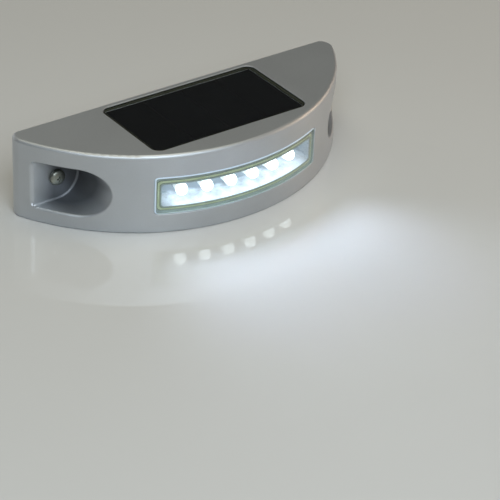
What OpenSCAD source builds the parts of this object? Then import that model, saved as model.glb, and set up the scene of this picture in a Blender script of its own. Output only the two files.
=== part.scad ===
// Crescent-shaped solar light: a flat back that goes against a wall or kerb, a bowed front with a
// curved LED lens, a solar window in the top and a screw pocket at each end.
// Lengths are in millimetres. X runs along the light, the front faces -Y and +Z is up.
// The origin is the middle of the bottom face: half-way along, half the depth in front of the back.

/* [Housing] */
// Length from tip to tip
body_length = 160; // [150:1:200]
// Depth from the back face to the middle of the front wall
body_depth = 56; // [54:1:70]
// Height from the bottom face to the top face
body_height = 36; // [35:0.5:50]
// Radius of the upright corner at each tip
tip_radius = 6; // [5.8:0.1:8]
// Distance from the back face to the centre of the tip's corner
tip_set = 4; // [3.4:0.1:4]
// Rounding along the front edge of the top face
top_edge_radius = 1.6; // [0.5:0.1:2.5]
// Rounding along the front edge of the bottom face
bottom_edge_radius = 1; // [0.5:0.1:1.2]
// Thickness of the outer walls
wall = 2.4; // [2.3:0.1:3]
// Thickness of the lip that surrounds the base cover
lip = 1.2; // [0.8:0.1:1.5]
// Gap all round a piece that is let into another
fit_gap = 0.15; // [0.1:0.05:0.3]

/* [Screw pockets] */
// Distance from the tip to the axis of the wall screw
screw_from_tip = 15; // [14:0.5:20]
// Height of the wall screw above the bottom face
screw_height = 17.3; // [16:0.1:22]
// Height of the pocket's mouth
pocket_height = 21; // [16:0.5:22]
// Distance from the back face to the pocket's floor
pocket_floor = 11.6; // [9:0.1:14]
// Thickness of the pocket's walls and floor
pocket_wall = 2; // [1.5:0.1:3]
// Outer diameter of the wall screw's thread
wall_screw_d = 4; // [3:0.5:5]
// Diameter of the wall screw's plain shank, where it runs through the housing
wall_screw_shank_d = 3; // [2:0.1:3]
// Length of the wall screw under its head
wall_screw_length = 25; // [20:1:40]
// Clearance all round the wall screw in its hole
wall_screw_gap = 0.25; // [0.1:0.05:0.5]

/* [Solar window] */
// Length of the window
window_length = 76; // [60:1:80]
// Width of the window from back to front
window_width = 42; // [36:0.5:44]
// Radius of the window's corners
window_corner = 4; // [2:0.5:6]
// Thickness of the clear window
window_thickness = 1.6; // [1:0.1:2]
// Width of the rim between the window and the back face
window_rim = 1.9; // [1.5:0.1:4]
// Depth of the window's surface below the top face
window_sink = 0.2; // [0.1:0.1:0.6]
// Thickness of the adhesive frame under the window
window_gasket_thickness = 0.4; // [0.2:0.1:0.6]
// Width of the ledge that the window sits on
window_ledge = 1.2; // [0.8:0.1:2]
// Number of solar cells in a row
cell_count = 4; // [2:1:6]
// Gap between neighbouring solar cells
cell_gap = 0.5; // [0.2:0.1:1]
// Thickness of a solar cell
cell_thickness = 0.35; // [0.2:0.05:0.6]
// Thickness of the board that carries the cells
panel_board_thickness = 1.2; // [0.8:0.1:1.6]
// Thickness of the foam tape under the panel board
panel_tape_thickness = 0.6; // [0.4:0.1:1]
// Thickness of the floor under the panel
well_floor = 1.6; // [1.2:0.1:2]

/* [Lens, reflector and LEDs] */
// Width of the lens, measured straight across
lens_width = 80; // [70:1:84]
// Height of the lens
lens_height = 17; // [14:0.5:18]
// Height of the middle of the lens above the bottom face
lens_middle = 17.3; // [16:0.1:22]
// Thickness of the lens
lens_thickness = 2; // [1.5:0.1:2.1]
// Radius of the lens's corners
lens_corner = 1.5; // [1:0.1:3]
// Depth of the reflector behind the front wall
reflector_depth = 8.8; // [8.5:0.1:11]
// Thickness of the reflector's walls
reflector_wall = 1.2; // [0.8:0.1:1.5]
// Number of LEDs
led_count = 6; // [2:1:6]
// Distance between neighbouring LEDs
led_pitch = 11.3; // [8:0.1:11.5]
// Diameter of an LED's body
led_d = 5; // [3:0.5:5]
// Height of an LED from flange to tip
led_height = 8.6; // [7:0.1:8.8]
// How much lower than the lens's middle the LEDs and the reflector's mouth are
led_drop = 0.7; // [0:0.1:1]

/* [Circuit board] */
// Length of the circuit board
board_length = 76; // [70:1:80]
// Thickness of the circuit board
board_thickness = 1.6; // [1:0.1:2]
// Diameter of the pillars that carry the circuit board
pillar_d = 5.5; // [4.5:0.1:7]
// Diameter of the small screws' shanks
small_screw_d = 2.2; // [1.8:0.1:2.4]
// Length of the circuit board's screws under their heads
board_screw_length = 6; // [5:0.5:10]

/* [Battery] */
// Diameter of the battery
battery_d = 14.5; // [10:0.1:14.5]
// Length of the battery with its nub
battery_length = 50.5; // [44:0.1:50.5]
// Thickness of the battery holder's walls
holder_wall = 1.2; // [0.8:0.1:1.6]
// Thickness of the contact plates
contact_thickness = 0.4; // [0.3:0.1:0.6]
// Length of the contact spring with the battery in
spring_length = 3; // [2.5:0.1:4]
// Diameter of the contact spring's wire
spring_wire = 0.6; // [0.4:0.05:0.8]

/* [Base cover and switch] */
// Thickness of the base cover
cover_thickness = 2.5; // [2:0.1:3]
// Thickness of the seal above the base cover's edge
seal_thickness = 0.6; // [0.4:0.1:1]
// Diameter of the bosses that take the base screws
boss_d = 6; // [5:0.1:7]
// Diameter of the base screws' shanks
base_screw_d = 2.6; // [2:0.1:3]
// Length of the base screws under their heads
base_screw_length = 8; // [6:0.5:12]
// Distance from the back face to the middle of the switch
switch_from_back = 20; // [18:0.5:22]
// Length of the switch's metal frame along its travel
switch_length = 12.8; // [11:0.1:14]
// Width of the switch's metal frame
switch_width = 6.6; // [6:0.1:8]
// Height of the switch's metal frame
switch_height = 6; // [5:0.1:7]
// Travel of the switch's knob
switch_travel = 3; // [2:0.1:4]
// Diameter of the insulated leads
lead_d = 1.2; // [0.8:0.1:1.4]

/* [Hidden] */
$fn = 64;

// Facets of the large arcs and of the rounded edges, and the overshoot that cuts a face cleanly
arc_facets = 240;
edge_facets = 32;
cut = 1;

// Colours
silver = [0.66, 0.67, 0.69];
inner_black = [0.08, 0.08, 0.09];
clear = [0.85, 0.92, 0.95, 0.4];
steel = [0.75, 0.75, 0.77];
board_green = [0.1, 0.35, 0.2];

// Crescent: the front arc runs round the tip corners, which lie a hair inside it, so that no two
// surfaces graze each other. The back face cuts the tip corners off square
tip_step = 0.02;
tip_x = body_length / 2 - tip_radius;
front_radius = (tip_x * tip_x + pow(body_depth - tip_set, 2) - tip_radius * tip_radius)
    / (2 * (body_depth - tip_set - tip_radius));
arc_y = front_radius - body_depth;
tip_angle = atan2(tip_x, arc_y + tip_set);
inner_radius = front_radius - wall;

// Screw pockets
screw_x = body_length / 2 - screw_from_tip;
pocket_end = screw_x - pocket_height / 2;
screw_boss_r = wall_screw_d / 2 + wall_screw_gap + pocket_wall;
screw_head_r = 3.7;
screw_head_height = 2.6;
screw_head_dome_r = 4.8;
screw_head_rim = 1.2;
screw_slot_arm = 4;
screw_slot_width = 0.9;
screw_slot_depth = 1.3;
screw_tip_length = 4;
screw_point_d = 0.5;

// Heights of the solar window and what lies under it
window_y = -(window_rim + window_width / 2);
window_top = body_height - window_sink;
window_bottom = window_top - window_thickness;
ledge_z = window_bottom - window_gasket_thickness;
panel_top_gap = 0.2;
panel_top = window_bottom - panel_top_gap;
board_of_panel_z = panel_top - cell_thickness - panel_board_thickness;
well_z = board_of_panel_z - panel_tape_thickness;
ceiling_z = well_z - well_floor;
well_length = window_length - 2 * window_ledge;
well_width = window_width - 2 * window_ledge;
well_corner = 1.5;
well_box_wall = 1.6;
panel_length = well_length - 2 * fit_gap;
panel_width = well_width - 2 * fit_gap;
panel_edge = 0.6;

// Reflector and LEDs, as radii about the centre of the front arc
reflector_back = inner_radius - reflector_depth;
reflector_lip = 3.4;
mouth_corner = 1.5;
reflector_flange = 2.5;
reflector_throat = led_d / 2 + 1.1;
led_level = lens_middle - led_drop;
led_step = led_pitch / (reflector_back + led_height) * 180 / PI;
led_flange_height = 1;
led_flange_r = led_d / 2 + 0.4;
led_hole_gap = 0.1;
led_back = reflector_back - led_flange_height;
led_lead = 0.5;
led_lead_spacing = 2.54;
led_lead_length = 4.5;

// Base cover, its seal and the bosses over it
seal_top = cover_thickness + seal_thickness;
boss_r = boss_d / 2;
boss_joint = 0.5;
boss_gap = 1.5;
boss_x = pocket_end - pocket_wall - boss_r + boss_joint;
boss_front_y = arc_y - sqrt(pow(inner_radius, 2) - boss_x * boss_x) + boss_r + boss_gap;
boss_back_y = -(wall + boss_r + boss_gap);
boss_spots = [[boss_x, boss_front_y], [-boss_x, boss_front_y], [boss_x, boss_back_y], [-boss_x, boss_back_y]];
base_head_r = 2.5;
base_head_height = 1.3;
head_gap = 0.3;
pilot_gap = 0.03;

// Battery, its holder and contacts
holder_gap = 0.3;
holder_back_gap = 1;
battery_r = battery_d / 2;
battery_y = -(wall + holder_back_gap + holder_wall + holder_gap + battery_r);
battery_z = cover_thickness + holder_wall + holder_gap + battery_r;
holder_inside = battery_length + 2 * contact_thickness + spring_length;
battery_start = -holder_inside / 2 + contact_thickness + spring_length;
holder_half_width = battery_r + holder_gap + holder_wall;
holder_half_length = holder_inside / 2 + holder_wall;
holder_side_rise = 1;
holder_end_rise = 4.5;
nub_length = 1.2;
nub_r = 2.7;
contact_half_width = 4.5;
contact_tab = 2.5;
contact_foot_gap = 0.2;
contact_top = battery_z + holder_end_rise + contact_tab;
lug_length = 6;
lug_width = 7;
lug_thickness = 1.5;
lug_post = 3;
lug_post_r = 2.5;
lug_x = holder_half_length + lug_length / 2;
lug_z = cover_thickness + lug_post;
small_head_r = 2;
small_head_height = 1.4;
small_screw_r = small_screw_d / 2;
holder_screw_length = 5.5;
spring_turns = 3;
spring_big_r = 3.4;
spring_small_r = 2.4;
spring_sides = 6;
spring_rings_per_turn = 14;

// Circuit board: its top face carries the LED leads
board_top = led_level - led_lead / 2;
board_bottom = board_top - board_thickness;
board_gap = 0.5;
board_radius = led_back - board_gap;
board_back_gap = 1.6;
board_back_y = battery_y - holder_half_width - board_back_gap;
pillar_inset = 6;
pillar_x = board_length / 2 - pillar_inset;
pillar_from_back_edge = 4.5;
pillar_y = board_back_y - pillar_from_back_edge;

// Parts on the circuit board: places along it, distance from its back edge, and the gap that
// the resistors keep behind the ends of the LEDs' leads
component_from_back_edge = 7;
component_y = board_back_y - component_from_back_edge;
chip_x = 10;
inductor_x = 18;
capacitor_x = -12;
resistor_size = [2, 1.25, 0.5];
resistor_pitch = 6;
resistor_gap = 1.5;
resistor_y = arc_y - (led_back - led_lead_length) + resistor_gap + resistor_size[1] / 2;

// Switch on the base cover
switch_gap = 1;
switch_x = lug_x + lug_length / 2 + switch_gap + switch_width / 2;
switch_y = -switch_from_back;
switch_plate = 0.5;
switch_ear = 3.6;
switch_ear_thickness = 0.8;
switch_screw_r = 0.8;
switch_screw_head_r = 1.5;
switch_screw_head_height = 0.9;
switch_screw_length = 2.6;
switch_screw_y = switch_length / 2 + switch_ear / 2;
knob_width = 3;
knob_length = 3.4;
knob_sink = 0.2;
knob_gap = 0.3;
slider_width = 4.4;
slider_length = 6;
slider_height = 2.3;
slider_gap = 0.15;
recess_depth = 1.3;
recess_length = 12;
recess_width = 9;
recess_corner = 2;
terminal_pitch = 3;
terminal_length = 4;
terminal_width = 1;
terminal_thickness = 0.6;
terminal_z = cover_thickness + switch_height;

// Leads: bends, sides and a direction that no lead runs along
lead_bend = 1.2;
lead_bend_steps = 4;
lead_sides = 8;
lead_reference = [0.3, 1, 0.2];

// Leads from the solar panel: they leave it side by side and part on their way to the board
panel_lead_from_back_edge = 5;
panel_lead_y = board_back_y - panel_lead_from_back_edge;
panel_lead_spread = 1.3;
panel_lead_hole_r = 2.6;
panel_lead_drop = 3;
panel_lead_slant = 4;
panel_lead_board_spread = 4;

// Leads from the battery's contacts: they rise, cross over the holder and land on the board
battery_lead_rise = 2;
battery_lead_landing = 2;
battery_lead_from_pillar = 7;

// Leads from the switch: each rises by its own height, passes the end of the board and arches over it
switch_lead_low_rise = 1.6;
switch_lead_high_rise = 4;
switch_lead_slant = 1.5;
switch_lead_clear = 2;
switch_lead_landing = 3;
switch_lead_inset = 2;
switch_lead_arch = 4.7;

// Places everything so that the origin is the middle of the bottom face
module centred() {
    translate([0, body_depth / 2, 0])
        children();
}

// Rectangle with round corners, centred, in the plane of the drawing
module rounded_rectangle(length, width, radius) {
    square([length - 2 * radius, width], center = true);
    square([length, width - 2 * radius], center = true);
    for (sx = [-1, 1], sy = [-1, 1])
        translate([sx * (length / 2 - radius), sy * (width / 2 - radius)])
            circle(r = radius);
}

// Sector beyond the right tip corner's centre, from the front arc's end round to the back
module tip_sector() {
    reach = 3 * tip_radius;
    polygon([
        [tip_x, -tip_set], [tip_x + reach * sin(tip_angle), -tip_set - reach * cos(tip_angle)],
        [tip_x + 2 * reach, -tip_set], [tip_x + 2 * reach, reach], [tip_x, reach]
    ]);
}

// Sector of the front arc, between the centres of the two tip corners
module front_sector() {
    reach = 2 * front_radius;
    translate([0, arc_y])
        polygon([
            [0, 0], [-reach * sin(tip_angle), -reach * cos(tip_angle)],
            [0, -reach], [reach * sin(tip_angle), -reach * cos(tip_angle)]
        ]);
}

// Plan of the crescent, inset by the given distance all round
module crescent(inset) {
    difference() {
        intersection() {
            translate([0, arc_y])
                circle(r = front_radius - inset, $fn = arc_facets);
            translate([-body_length, -2 * body_depth - inset])
                square([2 * body_length, 2 * body_depth]);
        }
        for (side = [0, 1])
            mirror([side, 0])
                difference() {
                    tip_sector();
                    translate([tip_x, -tip_set])
                        circle(r = tip_radius - tip_step - inset);
                }
    }
}

// What a rounding takes off a square edge whose corner is at the origin, the solid below and to the left
module edge_waste(radius) {
    translate([-radius, -radius])
        difference() {
            square(radius + cut);
            circle(r = radius, $fn = edge_facets);
        }
}

// Waste of a horizontal edge at the given distance from the axis, at the top or at the bottom face
module rim_waste(distance) {
    translate([distance, body_height])
        edge_waste(top_edge_radius);
    translate([distance, 0])
        mirror([0, 1])
            edge_waste(bottom_edge_radius);
}

// Outer form of the light, solid, with its top and bottom edges rounded along the front and the tips
module outer_body() {
    difference() {
        linear_extrude(body_height)
            crescent(0);
        intersection() {
            translate([0, arc_y, 0])
                rotate_extrude($fn = arc_facets)
                    rim_waste(front_radius);
            translate([0, 0, -cut])
                linear_extrude(body_height + 2 * cut)
                    front_sector();
        }
        both_ends()
            intersection() {
                translate([tip_x, -tip_set, 0])
                    rotate_extrude()
                        rim_waste(tip_radius - tip_step);
                translate([0, 0, -cut])
                    linear_extrude(body_height + 2 * cut)
                        tip_sector();
            }
    }
}

// Bar along Y with the section of a rounded rectangle standing in X and Z
module front_bar(length, height, radius, middle_z, from_y, to_y) {
    translate([0, to_y, middle_z])
        rotate([90, 0, 0])
            linear_extrude(to_y - from_y)
                rounded_rectangle(length, height, radius);
}

// Ring about the centre of the front arc
module arc_ring(outer_r, inner_r, low_z, high_z) {
    translate([0, arc_y, low_z])
        linear_extrude(high_z - low_z)
            difference() {
                circle(r = outer_r, $fn = arc_facets);
                circle(r = inner_r, $fn = arc_facets);
            }
}

// Space of one screw pocket on the right, from its floor out through the front, grown by a wall
module pocket_space(grow) {
    far = body_length;
    translate([0, -pocket_floor + grow, 0])
        rotate([90, 0, 0])
            linear_extrude(body_depth + 2 * grow) {
                translate([screw_x, screw_height])
                    circle(r = pocket_height / 2 + grow);
                translate([screw_x, screw_height - pocket_height / 2 - grow])
                    square([far, pocket_height + 2 * grow]);
            }
}

// Does the same on the left and on the right
module both_ends() {
    for (side = [0, 1])
        mirror([side, 0, 0])
            children();
}

// Hollow of the housing: the seat of the base cover, and the room above it
module hollow() {
    translate([0, 0, -cut])
        linear_extrude(seal_top + cut)
            crescent(lip);
    translate([0, 0, seal_top - cut])
        linear_extrude(body_height - wall - seal_top + cut)
            crescent(wall);
}

// Walls, bosses and pillars inside the housing, before they are trimmed
module inner_walls() {
    both_ends() {
        pocket_space(pocket_wall);
        translate([screw_x, 0, screw_height])
            rotate([90, 0, 0])
                cylinder(r = screw_boss_r, h = pocket_floor);
        translate([pillar_x, pillar_y, board_top])
            cylinder(d = pillar_d, h = body_height - board_top);
    }
    for (spot = boss_spots)
        translate([spot[0], spot[1], cover_thickness])
            cylinder(r = boss_r, h = body_height - cover_thickness);
    translate([0, window_y, ceiling_z])
        linear_extrude(body_height - ceiling_z)
            rounded_rectangle(window_length + 2 * well_box_wall, window_width + 2 * well_box_wall, window_corner);
}

// Opening of the front wall for a lens of the given size
module lens_bar(grow) {
    reach_y = arc_y - sqrt(pow(inner_radius, 2) - pow(lens_width / 2 + grow, 2)) + cut;
    front_bar(lens_width + 2 * grow, lens_height + 2 * grow, lens_corner, lens_middle, -body_depth - cut, reach_y);
}

// Everything that is cut out of the housing after the inner walls are in
module housing_cuts() {
    translate([0, window_y, ledge_z])
        linear_extrude(body_height)
            rounded_rectangle(window_length + 2 * fit_gap, window_width + 2 * fit_gap, window_corner);
    translate([0, window_y, well_z])
        linear_extrude(body_height)
            rounded_rectangle(well_length, well_width, well_corner);
    translate([0, panel_lead_y, ceiling_z - cut])
        cylinder(r = panel_lead_hole_r, h = well_floor + 2 * cut);
    lens_bar(fit_gap);
    both_ends() {
        pocket_space(0);
        translate([screw_x, cut, screw_height])
            rotate([90, 0, 0])
                cylinder(r = wall_screw_d / 2 + wall_screw_gap, h = pocket_floor + 2 * cut);
        translate([pillar_x, pillar_y, board_top - cut])
            cylinder(r = small_screw_r + pilot_gap, h = board_screw_length - board_thickness + 2 * cut);
    }
    for (spot = boss_spots)
        translate([spot[0], spot[1], cover_thickness - cut])
            cylinder(r = base_screw_d / 2 + pilot_gap, h = base_screw_length + cut);
}

// Silver housing with its pockets, panel well, bosses and pillars
module housing() {
    color(silver)
        centred()
            difference() {
                union() {
                    difference() {
                        outer_body();
                        hollow();
                    }
                    intersection() {
                        inner_walls();
                        translate([0, 0, cover_thickness])
                            linear_extrude(body_height - cover_thickness - wall / 2)
                                crescent(wall / 2);
                    }
                }
                housing_cuts();
            }
}

// Clear window over the solar cells
module solar_window() {
    color(clear)
        centred()
            translate([0, window_y, window_bottom])
                linear_extrude(window_thickness)
                    rounded_rectangle(window_length, window_width, window_corner);
}

// Adhesive frame between the window and its ledge
module window_gasket() {
    color(inner_black)
        centred()
            translate([0, window_y, ledge_z])
                linear_extrude(window_gasket_thickness)
                    difference() {
                        rounded_rectangle(window_length, window_width, window_corner);
                        rounded_rectangle(well_length, well_width, well_corner);
                    }
}

// Solar cells, side by side on their board
module solar_cells() {
    row_length = panel_length - 2 * panel_edge;
    cell_length = (row_length - (cell_count - 1) * cell_gap) / cell_count;
    color(inner_black)
        centred()
            for (i = [0 : cell_count - 1])
                translate([
                    -row_length / 2 + i * (cell_length + cell_gap),
                    window_y - panel_width / 2 + panel_edge,
                    panel_top - cell_thickness
                ])
                    cube([cell_length, panel_width - 2 * panel_edge, cell_thickness]);
}

// Board that carries the solar cells
module solar_panel_board() {
    color(inner_black)
        centred()
            translate([0, window_y, board_of_panel_z])
                linear_extrude(panel_board_thickness)
                    rounded_rectangle(panel_length, panel_width, well_corner);
}

// Foam tape under the panel board, with a hole for the leads
module panel_tape() {
    color("white")
        centred()
            difference() {
                translate([0, window_y, well_z])
                    linear_extrude(panel_tape_thickness)
                        rounded_rectangle(panel_length, panel_width, well_corner);
                translate([0, panel_lead_y, well_z - cut])
                    cylinder(r = panel_lead_hole_r, h = panel_tape_thickness + 2 * cut);
            }
}

// Curved plate in the opening of the front wall, between two radii
module curved_plate(outer_r, inner_r, grow) {
    intersection() {
        arc_ring(outer_r, inner_r, 0, body_height);
        lens_bar(grow);
    }
}

// Clear lens, flush with the front wall
module lens() {
    color(clear)
        centred()
            curved_plate(front_radius, front_radius - lens_thickness, 0);
}

// Thin frame between the lens and the reflector
module lens_gasket() {
    color("white")
        centred()
            difference() {
                curved_plate(front_radius - lens_thickness, inner_radius, 0);
                front_bar(
                    lens_width - 2 * reflector_lip, lens_height - 2 * reflector_lip, mouth_corner,
                    led_level, -body_depth - cut, -cut
                );
            }
}

// Wedge about the centre of the front arc, open to the front, with the given half angle
module arc_wedge(half_angle) {
    far = 2 * front_radius;
    translate([0, arc_y, 0])
        linear_extrude(body_height)
            polygon([
                [0, 0], [-far * sin(half_angle), -far * cos(half_angle)],
                [0, -far], [far * sin(half_angle), -far * cos(half_angle)]
            ]);
}

// Body turned about the centre of the front arc, level with the LEDs, from points of radius and height
module turned_about_arc(points) {
    translate([0, arc_y, led_level])
        rotate_extrude($fn = arc_facets)
            polygon(points);
}

// Puts its children at an LED: +X points out through the lens, from the centre of the front arc
module at_led(index) {
    translate([0, arc_y, led_level])
        rotate([0, 0, -90 + (index - (led_count + 1) / 2) * led_step])
            children();
}

// Bright trough behind the lens
module reflector() {
    half_mouth = lens_height / 2 - reflector_lip;
    mouth_angle = asin((lens_width / 2 - reflector_lip) / inner_radius);
    wall_angle = asin(reflector_wall / inner_radius);
    flange_angle = asin(reflector_flange / inner_radius);
    floor_radius = reflector_back + reflector_wall;
    back_half = reflector_throat + reflector_wall;
    mouth_half = half_mouth + reflector_wall;
    flange_bottom = led_drop - lens_height / 2 - reflector_flange;
    flange_top = led_drop + lens_height / 2 + reflector_flange;
    color("white")
        centred()
            difference() {
                union() {
                    intersection() {
                        turned_about_arc([
                            [reflector_back, -back_half], [inner_radius, -mouth_half],
                            [inner_radius, mouth_half], [reflector_back, back_half]
                        ]);
                        arc_wedge(mouth_angle + wall_angle);
                    }
                    intersection() {
                        turned_about_arc([
                            [inner_radius - reflector_wall, flange_bottom], [inner_radius, flange_bottom],
                            [inner_radius, flange_top], [inner_radius - reflector_wall, flange_top]
                        ]);
                        arc_wedge(mouth_angle + flange_angle);
                    }
                }
                intersection() {
                    turned_about_arc([
                        [floor_radius, -reflector_throat], [inner_radius + cut, -half_mouth],
                        [inner_radius + cut, half_mouth], [floor_radius, reflector_throat]
                    ]);
                    arc_wedge(mouth_angle);
                }
                for (i = [1 : led_count])
                    at_led(i)
                        translate([reflector_back - cut, 0, 0])
                            rotate([0, 90, 0]) {
                                cylinder(r = led_d / 2 + led_hole_gap, h = reflector_wall + 2 * cut);
                                cylinder(r = led_flange_r + led_hole_gap, h = cut);
                            }
            }
}

// One domed LED with its two leads
module led(index) {
    straight = led_height - led_flange_height - led_d / 2;
    color([0.95, 0.97, 1])
        centred()
            at_led(index)
                union() {
                    translate([led_back, 0, 0])
                        rotate([0, 90, 0])
                            cylinder(r = led_flange_r, h = led_flange_height);
                    translate([reflector_back, 0, 0])
                        rotate([0, 90, 0])
                            cylinder(d = led_d, h = straight);
                    translate([reflector_back + straight, 0, 0])
                        rotate([0, 90, 0])
                            rotate_extrude()
                                intersection() {
                                    circle(d = led_d);
                                    square(led_d);
                                }
                    for (side = [-1, 1])
                        translate([led_back - led_lead_length, side * led_lead_spacing / 2 - led_lead / 2, -led_lead / 2])
                            cube([led_lead_length + led_flange_height / 2, led_lead, led_lead]);
                }
}

// Circuit board with a curved front edge
module circuit_board() {
    color(board_green)
        centred()
            difference() {
                translate([0, 0, board_bottom])
                    linear_extrude(board_thickness)
                        intersection() {
                            translate([0, arc_y])
                                circle(r = board_radius, $fn = arc_facets);
                            translate([-board_length / 2, board_back_y - body_depth])
                                square([board_length, body_depth]);
                        }
                both_ends()
                    translate([pillar_x, pillar_y, board_bottom - cut])
                        cylinder(r = small_screw_r + pilot_gap, h = board_thickness + 2 * cut);
            }
}

// Screw with a cylindrical head: the head stands below the origin and the shank runs up from it
module screw(shank_r, length, head_r, head_height) {
    cylinder(r = shank_r, h = length);
    translate([0, 0, -head_height])
        cylinder(r = head_r, h = head_height);
}

// Screws that hold the circuit board to its pillars
module board_screws() {
    color(steel)
        centred()
            both_ends()
                translate([pillar_x, pillar_y, board_bottom])
                    screw(small_screw_r, board_screw_length, small_head_r, small_head_height);
}

// Charge and boost chip
module driver_ic() {
    chip = [4.9, 3.9, 1.5];
    leg = [0.5, 1, 0.4];
    leg_pitch = 1.27;
    color(inner_black)
        centred()
            translate([chip_x, component_y, board_top]) {
                translate([-chip[0] / 2, -chip[1] / 2, 0])
                    cube(chip);
                for (i = [-1.5 : 1 : 1.5], side = [-1, 1])
                    translate([i * leg_pitch - leg[0] / 2, side * (chip[1] + leg[1]) / 2 - leg[1] / 2, 0])
                        cube(leg);
            }
}

// Drum inductor of the boost circuit
module boost_inductor() {
    drum_r = 3;
    waist_r = 2.3;
    drum_height = 7;
    rim = 1;
    color([0.25, 0.22, 0.2])
        centred()
            translate([inductor_x, component_y, board_top])
                rotate_extrude()
                    polygon([
                        [0, 0], [drum_r, 0], [drum_r, rim], [waist_r, rim], [waist_r, drum_height - rim],
                        [drum_r, drum_height - rim], [drum_r, drum_height], [0, drum_height]
                    ]);
}

// Upright electrolytic capacitor
module filter_capacitor() {
    can_r = 2.5;
    can_height = 7;
    color([0.15, 0.18, 0.35])
        centred()
            translate([capacitor_x, component_y, board_top])
                cylinder(r = can_r, h = can_height);
}

// Row of chip resistors near the LEDs
module resistors() {
    color(inner_black)
        centred()
            for (i = [-1 : 1])
                translate([i * resistor_pitch - resistor_size[0] / 2, resistor_y - resistor_size[1] / 2, board_top])
                    cube(resistor_size);
}

// Rechargeable cell with its nub at the right end
module battery() {
    color([0.2, 0.55, 0.3])
        centred()
            translate([battery_start, battery_y, battery_z])
                rotate([0, 90, 0]) {
                    cylinder(r = battery_r, h = battery_length - nub_length);
                    cylinder(r = nub_r, h = battery_length);
                }
}

// Tray that holds the battery, with a lug at each end
module battery_holder() {
    low_z = cover_thickness;
    side_top = battery_z + holder_side_rise;
    end_top = battery_z + holder_end_rise;
    half = holder_half_length;
    color(inner_black)
        centred()
            difference() {
                union() {
                    translate([-half, battery_y - holder_half_width, low_z])
                        cube([2 * half, 2 * holder_half_width, side_top - low_z]);
                    both_ends()
                        translate([holder_inside / 2, battery_y - holder_half_width, low_z])
                            cube([holder_wall, 2 * holder_half_width, end_top - low_z]);
                    translate([-half - lug_length, battery_y - lug_width / 2, lug_z])
                        cube([2 * (half + lug_length), lug_width, lug_thickness]);
                }
                translate([-holder_inside / 2, battery_y - battery_r - holder_gap, low_z + holder_wall])
                    cube([holder_inside, 2 * (battery_r + holder_gap), body_height]);
                both_ends()
                    translate([lug_x, battery_y, lug_z - cut])
                        cylinder(r = small_screw_r + pilot_gap, h = lug_thickness + 2 * cut);
            }
}

// Flat contact that stands against an end wall of the holder, its tab above the wall
module contact_plate(inner_x) {
    foot = cover_thickness + holder_wall + contact_foot_gap;
    translate([inner_x, battery_y - contact_half_width, foot])
        cube([contact_thickness, 2 * contact_half_width, contact_top - contact_tab - foot]);
    translate([inner_x, battery_y - contact_half_width / 2, contact_top - contact_tab])
        cube([contact_thickness, contact_half_width, contact_tab]);
}

// Contact at the nub end of the battery
module contact_positive() {
    color(steel)
        centred()
            contact_plate(holder_inside / 2 - contact_thickness);
}

// Contact at the flat end of the battery
module contact_negative() {
    color(steel)
        centred()
            contact_plate(-holder_inside / 2);
}

// Conical spring between the negative contact and the battery
function spring_radius(t) = spring_big_r + (spring_small_r - spring_big_r) * t;
function spring_point(t, side) =
    let (
        turn = 360 * spring_turns * t,
        around = 360 * side / spring_sides,
        run = spring_length - spring_wire,
        reach = spring_radius(t) + spring_wire / 2 * cos(around)
    )
    [spring_wire / 2 + run * t + spring_wire / 2 * sin(around), reach * cos(turn), reach * sin(turn)];

module contact_spring() {
    rings = spring_turns * spring_rings_per_turn;
    points = [for (i = [0 : rings], s = [0 : spring_sides - 1]) spring_point(i / rings, s)];
    color(steel)
        centred()
            translate([battery_start - spring_length, battery_y, battery_z])
                polyhedron(points = points, faces = tube_faces(rings + 1, spring_sides), convexity = 6);
}

// Screws that hold the battery holder to the posts of the base cover
module holder_screws() {
    color(steel)
        centred()
            both_ends()
                translate([lug_x, battery_y, lug_z + lug_thickness])
                    mirror([0, 0, 1])
                        screw(small_screw_r, holder_screw_length, small_head_r, small_head_height);
}

// Base cover with screw holes, switch slot, finger recess and the holder's posts
module base_cover() {
    slot_length = knob_length + switch_travel + 2 * knob_gap;
    slot_width = knob_width + 2 * knob_gap;
    post_bore = holder_screw_length - lug_thickness + head_gap;
    color(inner_black)
        centred()
            difference() {
                union() {
                    linear_extrude(cover_thickness)
                        crescent(lip + fit_gap);
                    both_ends()
                        translate([lug_x, battery_y, cover_thickness / 2])
                            cylinder(r = lug_post_r, h = lug_z - cover_thickness / 2);
                }
                for (spot = boss_spots)
                    translate([spot[0], spot[1], -cut]) {
                        cylinder(r = base_screw_d / 2 + head_gap, h = cover_thickness + 2 * cut);
                        cylinder(r = base_head_r + head_gap, h = base_head_height + head_gap + cut);
                    }
                both_ends()
                    translate([lug_x, battery_y, lug_z - post_bore])
                        cylinder(r = small_screw_r + pilot_gap, h = post_bore + cut);
                translate([switch_x, switch_y, -cut]) {
                    linear_extrude(recess_depth + cut)
                        rounded_rectangle(recess_width, recess_length, recess_corner);
                    linear_extrude(cover_thickness + 2 * cut)
                        square([slot_width, slot_length], center = true);
                }
                for (side = [-1, 1])
                    translate([switch_x, switch_y + side * switch_screw_y, cover_thickness - switch_screw_length])
                        translate([0, 0, switch_ear_thickness - pilot_gap])
                            cylinder(r = switch_screw_r + pilot_gap, h = switch_screw_length);
            }
}

// Flat seal between the base cover and the housing's ledge
module base_seal() {
    color([0.2, 0.2, 0.2])
        centred()
            translate([0, 0, cover_thickness])
                linear_extrude(seal_thickness)
                    difference() {
                        crescent(lip + fit_gap);
                        crescent(wall);
                    }
}

// Screws that hold the base cover, their heads sunk in the counterbores
module base_screws() {
    color(steel)
        centred()
            for (spot = boss_spots)
                translate([spot[0], spot[1], base_head_height + head_gap])
                    screw(
                        base_screw_d / 2, base_screw_length - head_gap,
                        base_head_r, base_head_height
                    );
}

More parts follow.
